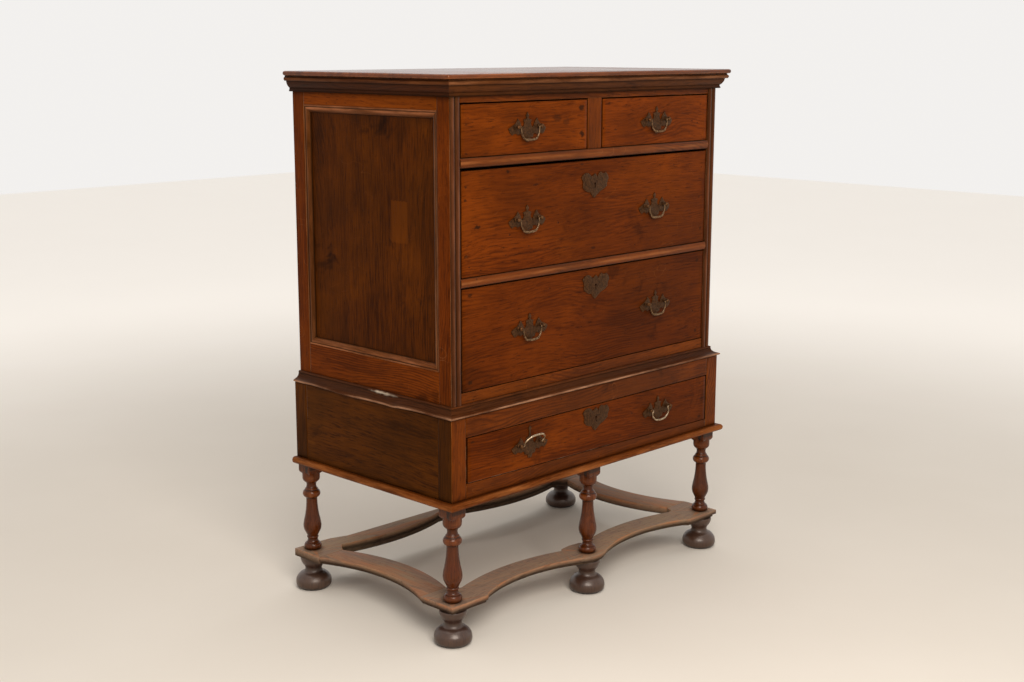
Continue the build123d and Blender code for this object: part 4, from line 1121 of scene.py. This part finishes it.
# ---------------------------------------------------------------- drawers
def solids(node):
    """Each board of a CAD node on its own, as a closed bmesh."""
    source = frame["nodes"][node]
    work = bmesh.new()
    work.from_mesh(source.data)
    work.transform(source.matrix_world)
    bmesh.ops.remove_doubles(work, verts=work.verts, dist=1e-6)
    seen = set()
    for first in work.faces:
        if first in seen:
            continue
        seen.add(first)
        group = []
        waiting = [first]
        while waiting:
            face = waiting.pop()
            group.append(face)
            for edge in face.edges:
                if len(edge.link_faces) == 2:
                    for other in edge.link_faces:
                        if other not in seen:
                            seen.add(other)
                            waiting.append(other)
        part = bmesh.new()
        copies = {}
        for face in group:
            for vertex in face.verts:
                if vertex not in copies:
                    copies[vertex] = part.verts.new(vertex.co)
            part.faces.new([copies[vertex] for vertex in face.verts])
        part.verts.index_update()
        yield part
    work.free()


def extent(part):
    """Lowest and highest corner of a bmesh."""
    near = [min(v.co[i] for v in part.verts) for i in range(3)]
    far = [max(v.co[i] for v in part.verts) for i in range(3)]
    return near, far


def cutters_from(node, low, high):
    """Scratch meshes of the node's solids that reach into the box from low to high."""
    skin = 0.6 * MM
    result = []
    for k, part in enumerate(solids(node)):
        near, far = extent(part)
        if all(near[i] < high[i] - skin and far[i] > low[i] + skin for i in range(3)):
            mesh = bpy.data.meshes.new(node + "_cutter_" + str(k))
            part.to_mesh(mesh)
            result.append(mesh)
        part.free()
    return result


def clean_cut(mesh):
    """Drops the specks left by a cut and marks the sharp edges."""
    work = bmesh.new()
    work.from_mesh(mesh)
    bmesh.ops.dissolve_degenerate(work, dist=2e-6, edges=work.edges)
    shade_edges(work)
    for face in work.faces:
        face.material_index = 0
    work.to_mesh(mesh)
    work.free()


def keyhole_cutter(keyhole, y0, y1):
    """Round eye with a slot below it, as a mesh to cut with."""
    x, z = keyhole
    turns = (math.radians(-65 + 310 * i / 24) for i in range(25))
    ring = [(2.6 * math.cos(t), 3 + 2.6 * math.sin(t)) for t in turns]
    ring = [(1.1, -6.5), (1.1, 0.64)] + ring + [(-1.1, 0.64), (-1.1, -6.5)]
    points = [((x + u) * MM, y, (z + v) * MM) for y in (y0, y1) for u, v in ring]
    return Shape().add(points, loft_faces(2, len(ring), flip=True)).mesh("keyhole")


def drawer_fronts():
    """Shrunken, sagging fronts, cut out for the joints, handle posts and locks behind them."""
    for name, (_, _, sag, _, keyhole) in DRAWERS.items():
        drawer = name + "_drawer"
        node = drawer + "_front"
        low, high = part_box(node)
        slope = stand_slope() if name == "stand" else 0.0

        def bend(p, low=low, high=high, slope=slope, sag=sag * MM):
            up = (p.z - low.z) / (high.z - low.z)
            along = (p.x - low.x) / (high.x - low.x)
            lift = (1 - up) * (slope * (high.x - p.x)) - up * sag * (1 - 0.45 * along)
            return Vector((p.x + 2.0 * MM * (1 - along) - 0.6 * MM * along, p.y, p.z + lift))

        def split_off(co, low=low, high=high, slope=slope):
            """A ragged strip of bare wood along the lower edge, at the left."""
            x, y, z = co
            if x < 0.06 and y < low.y + 1.3 * MM and z < low.z + slope * (high.x - x) + 0.6 * MM:
                return clamped(0.35 + 1.2 * noise.noise(Vector((x * 31, 5, 1))), 0.8)
            return 0.0

        shape = boards(Shape(), (low, high), radius=1.1 * MM, step=0.025, wave=0.3 * MM, fade=9 * MM,
                       bend=bend)
        # Painted shade along the rounded edges of each front, where the gap round the drawer is dark.
        shape.painted_shade = [0.55 * value for value in shape.wear]
        cutters = cutters_from(drawer + "_box", low, high) + cutters_from(drawer + "_brasses", low, high)
        if keyhole:
            cutters += cutters_from(name + "_lock", low, high)
            cutters.append(keyhole_cutter(keyhole, low.y - 5 * MM, high.y + 5 * MM))
        mesh = boolean(shape.mesh(node), cutters, node)
        clean_cut(mesh)
        if name == "stand":
            bare_paint(mesh, split_off)
        place(mesh, node, "front_wood", front_wood[name], body=drawer)


# ---------------------------------------------------------------- brasses
def plate_outline(finial):
    """Whole outline of a bat-wing plate, in mm."""
    half = outline(
        (0, finial), (1.6, finial - 2.2), (4.5, finial - 6.5), (2.6, finial - 10), (2.2, finial - 11.5),
        (2.6, 15.5), ((7, 14), (12, 12.5)), ((9.6, 6), (12.5, 0)), ((14.5, -1.6), (17.5, 0)),
        ((20.4, 7), (28, 16)), ((33, 8), (42, 2.5)), (54, -3.5), ((50.5, -10.5), (43, -16.5)),
        ((35.5, -13.5), (27, -17)), ((20, -14.5), (16, -16)), ((15.5, -21), (10.7, -22.6)), (6, -23.5),
        ((5.6, -29), (0, -31)), count=5,
    )
    return half + mirrored(half[1:-1])


SHIELD = outline(
    (-2, -27), ((-9, -22), (-14, -15)), ((-27, -12), (-39, -3)), ((-38, 7), (-43, 17)),
    ((-36, 24), (-23, 26)), ((-16, 23), (-12, 18)), ((-6.5, 20), (0, 24.5)), ((5, 20), (8, 15)),
    ((12, 23), (19, 27)), ((25.5, 23.5), (34, 25)), ((41, 19), (44, 11)), ((39.5, 4), (39, -4)), ((28, -10), (17, -14)),
    ((9, -19), (-2, -27)), count=5,
)[:-1]


def add_plate(shape, points, x, z, face):
    """A plate on the drawer face with its middle at x and z."""
    points, faces, wear = plate(points, face - PLATE * MM)
    shape.add([(p[0] + x, p[1], p[2] + z) for p in points], faces, wear)


def handle_posts(shape, x, z, face):
    """Collar and ball head of both posts, and the nut inside the drawer."""
    profile = outline(
        (0, 4.6), ((4.6, 0), (2.6, -3.8)), ((2.3, -4.6), (2.6, -5.6)), ((4.2, -6.1), (4.3, -7.2)), (4.2, -8),
        (2.5, -8), (2.5, -34.4), (0, -34.4), count=10,
    )
    nut = 4.5 * MM
    inside = face + 20 * MM
    for side in (-1, 1):
        centre = x + side * POST_HALF
        points, faces, wear, painted_shade = turning(profile, (0, 0), segments=28)
        lying = [(p[0] + centre, face - PIVOT_REACH - p[2], p[1] + z) for p in points]
        shape.add(lying, faces, [0.9] * len(wear), painted_shade)
        boards(shape, ((centre - nut, inside, z - nut), (centre + nut, inside + 3 * MM, z + nut)),
               radius=0.4 * MM, step=0.01, wave=0.1 * MM, fade=1 * MM)


JOINT_PLACE = {joint["child"]: Vector(joint["pos_m"]) for joint in frame["joints"]
               if joint["type"] == "hinge"}


def brasses():
    """Handle plates and posts, and the shield round each keyhole."""
    for name, (_, _, _, handles, keyhole) in DRAWERS.items():
        drawer = name + "_drawer"
        node = drawer + "_brasses"
        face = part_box(drawer + "_front")[0].y
        shape = Shape()
        for handle in handles:
            pivot = JOINT_PLACE[handle]
            finial = 38 if handle == "stand_left_bail" else 28
            add_plate(shape, plate_outline(finial), pivot.x, pivot.z, face)
            handle_posts(shape, pivot.x, pivot.z, face)
        if keyhole:
            add_plate(shape, SHIELD, keyhole[0] * MM, keyhole[1] * MM, face)
        mesh = shape.mesh(node)
        if keyhole:
            mesh = boolean(mesh, [keyhole_cutter(keyhole, face - 10 * MM, face + 10 * MM)], node)
            clean_cut(mesh)
        place(mesh, node, "brass", brass, body=drawer)


def bails():
    """Swan-necked bails, pinched at the middle on the upper case and rounder on the stand."""
    neck = (28.4, 0)
    start = (26.3, -2.4)
    pinched = outline(start, ((26.0, -10.5), (20.8, -20.2)), ((18.0, -23.6), (14.2, -25.1)),
                      ((7.5, -26.2), (0, -26.4)), count=8)
    rounded = outline(start, ((28.7, -10.5), (22.6, -19.6)), ((18.2, -23.5), (13.0, -25.3)),
                      ((6.6, -26.25), (0, -26.4)), count=8)
    for node, pivot in JOINT_PLACE.items():
        on_stand = node.startswith("stand")
        drop, swell, flat = (rounded, 0.3, 0.0) if on_stand else (pinched, 0.75, 0.1)
        path = [(POST_HALF / MM - 0.5, 0), neck] + arc_points(neck, (26.95, -0.7), start, 5) + drop[1:]
        path += mirrored(path[:-1])
        radii = []
        flatten = []
        for x, z in path:
            low = clamped((-z - 18) / 8)
            radii.append((1.5 if abs(x) > 28.0 else 1.9 + swell * low * low) * MM)
            flatten.append(1.0 + flat * low)
        points, faces = tube([Vector((x * MM, 0, z * MM)) for x, z in path], radii, flatten)
        wear = [0.25 + 0.75 * clamped((-p.z - 12 * MM) / (14 * MM)) for p in points]
        turn = Matrix.Rotation(-math.radians(148) if node == "stand_left_bail" else 0.0, 3, "X")
        shape = Shape().add([turn @ p + pivot for p in points], faces, wear)
        # The stand's bails take the brighter brass, partly a painted highlight.
        place(shape, node, "brass", rubbed_and_glinting_brass if on_stand else bail_brass, body=node)


# ---------------------------------------------------------------- plain boards eased by hand
def eased(node, slot, materials, body="chest", width=0.7 * MM, shortest=6 * MM, angle=35, shaded_below=0.0):
    """The node's own boards with their sharp edges eased and worn.  One material for each
    direction of the grain, picked by the longest side of every board."""
    shape = Shape()
    for part in solids(node):
        bmesh.ops.dissolve_limit(part, angle_limit=math.radians(0.6), verts=part.verts, edges=part.edges)
        sharp = [edge for edge in part.edges if edge.is_manifold and edge.is_convex
                 and edge.calc_face_angle(0) > math.radians(angle) and edge.calc_length() > shortest]
        made = bmesh.ops.bevel(part, geom=sharp, offset=width, offset_type="OFFSET", segments=2, profile=0.5,
                               affect="EDGES", clamp_overlap=True)
        worn = set(made["verts"])
        bmesh.ops.dissolve_degenerate(part, dist=1e-7, edges=part.edges)
        worn = {vertex for vertex in worn if vertex.is_valid}
        flats = [face for face in part.faces if 2 * face.calc_area() > 5 * MM * face.calc_perimeter()]
        bmesh.ops.inset_individual(part, faces=flats, thickness=1.6 * MM, use_even_offset=True)
        worn -= {vertex for face in flats for vertex in face.verts}
        near, far = extent(part)
        size = [b - a for a, b in zip(near, far)]
        part.verts.index_update()
        points = [tuple(v.co) for v in part.verts]
        faces = [tuple(v.index for v in face.verts) for face in part.faces]
        # Painted shade on everything more than the given depth below the top of the board, with no wear there.
        painted_shade = [1.0 if shaded_below and v.co.z < far[2] - shaded_below else 0.0 for v in part.verts]
        wear = [1.0 if v in worn and not shaded else 0.0 for v, shaded in zip(part.verts, painted_shade)]
        shape.add(points, faces, wear, painted_shade, slot=size.index(max(size)))
        part.free()
    place(shape, node, slot, *materials, body=body)


def plain_boards():
    for node in ("upper_drawer_runners", "stand_drawer_runners", "upper_bottom_boards", "upper_back_boards",
                 "stand_back_board"):
        eased(node, "lining_wood", linings)
    for name in DRAWERS:
        eased(name + "_drawer_box", "lining_wood", linings, body=name + "_drawer")
    for side in ("front", "back", "left", "right"):
        # The stretchers get painted shade on their lower parts, below their top 7 mm.
        eased(side + "_stretcher", "stretcher_wood", [faded_glare_x, faded_glare_y, faded_glare_y], width=0.9 * MM,
              shortest=1 * MM, angle=25, shaded_below=7 * MM)
    for name, (_, _, _, _, keyhole) in DRAWERS.items():
        if keyhole:
            eased(name + "_lock", "iron", [iron] * 3, body=name + "_drawer", width=0.4 * MM)


# ---------------------------------------------------------------- stage
FLOOR_HALF = 9.0
SKY_SEEN = 0.92                                    # strength of the sky seen straight on
SKY_MATT = 0.40                                    # and as it lights matt surfaces


def area_light(name, place_at, target, side, power, tint=(1, 1, 1)):
    data = bpy.data.lights.new(name, "AREA")
    data.shape = "RECTANGLE"
    data.size = data.size_y = side
    data.energy = power
    data.color = tint
    obj = new_object(name, data)
    obj.location = place_at
    obj.rotation_euler = (Vector(target) - Vector(place_at)).to_track_quat("-Z", "Y").to_euler()


def floor():
    """Pale floor that glows more the farther it is from the chest, a painted brightening that fades it into the light
    background.
    """
    mesh = bpy.data.meshes.new("floor")
    corners = [(x * FLOOR_HALF, y * FLOOR_HALF, 0) for x, y in ((-1, -1), (1, -1), (1, 1), (-1, 1))]
    mesh.from_pydata(corners, [], [(0, 1, 2, 3)])
    s = Shader("pale_floor")
    coords = s.node("TexCoord").outputs["Object"]
    shade = s.mix(s.noise(coords, 2.0), colour(0.80, 0.72, 0.62), colour(0.86, 0.78, 0.68))
    s.link(shade, s.bsdf.inputs["Base Color"])
    s.bsdf.inputs["Roughness"].default_value = 0.9
    # Painted light: the floor's glow rises from nothing 1 m from the middle to half strength at 4 m.
    s.bsdf.inputs["Emission Color"].default_value = colour(1.0, 0.97, 0.93)
    s.link(s.times(s.step(s.length(coords), 1.0, 4.0), 0.50), s.bsdf.inputs["Emission Strength"])
    mesh.materials.append(s.material)
    new_object("floor", mesh)


def studio():
    world = bpy.data.worlds.new("studio")
    bpy.context.scene.world = world
    world.use_nodes = True
    nodes, links = world.node_tree.nodes, world.node_tree.links
    background = nodes["Background"]
    background.inputs["Color"].default_value = (0.97, 0.95, 0.93, 1)
    path = nodes.new("ShaderNodeLightPath")
    strength = nodes.new("ShaderNodeMapRange")
    strength.inputs["To Min"].default_value = SKY_SEEN
    strength.inputs["To Max"].default_value = SKY_MATT
    links.new(path.outputs["Is Diffuse Ray"], strength.inputs["Value"])
    links.new(strength.outputs["Result"], background.inputs["Strength"])
    area_light("key", (-1.35, -1.85, 1.85), (-0.1, -0.2, 0.75), 1.4, 51, (1.0, 0.96, 0.91))
    area_light("overhead", (0.2, 0.2, 3.3), (0, 0, 0.4), 3.0, 38)


def camera():
    """Three-quarter view from the front left, a little above the top board."""
    data = bpy.data.cameras.new("camera")
    data.sensor_width = 36
    data.lens = 50.994
    obj = new_object("camera", data)
    obj.location = (-2.3288, FRONT_Y - 2.0189, 1.1976)
    obj.rotation_euler = (math.pi / 2 - 0.20109, -0.00085, -0.80005)
    bpy.context.scene.camera = obj
    bpy.context.scene.view_settings.view_transform = "Standard"


camera()
floor()
studio()
top_board()
cornice()
side_frames()
side_panels()
panel_mouldings()
front_rails()
bead_mouldings()
waist()
stand_frame()
base_moulding()
legs()
feet()
drawer_fronts()
brasses()
bails()
plain_boards()
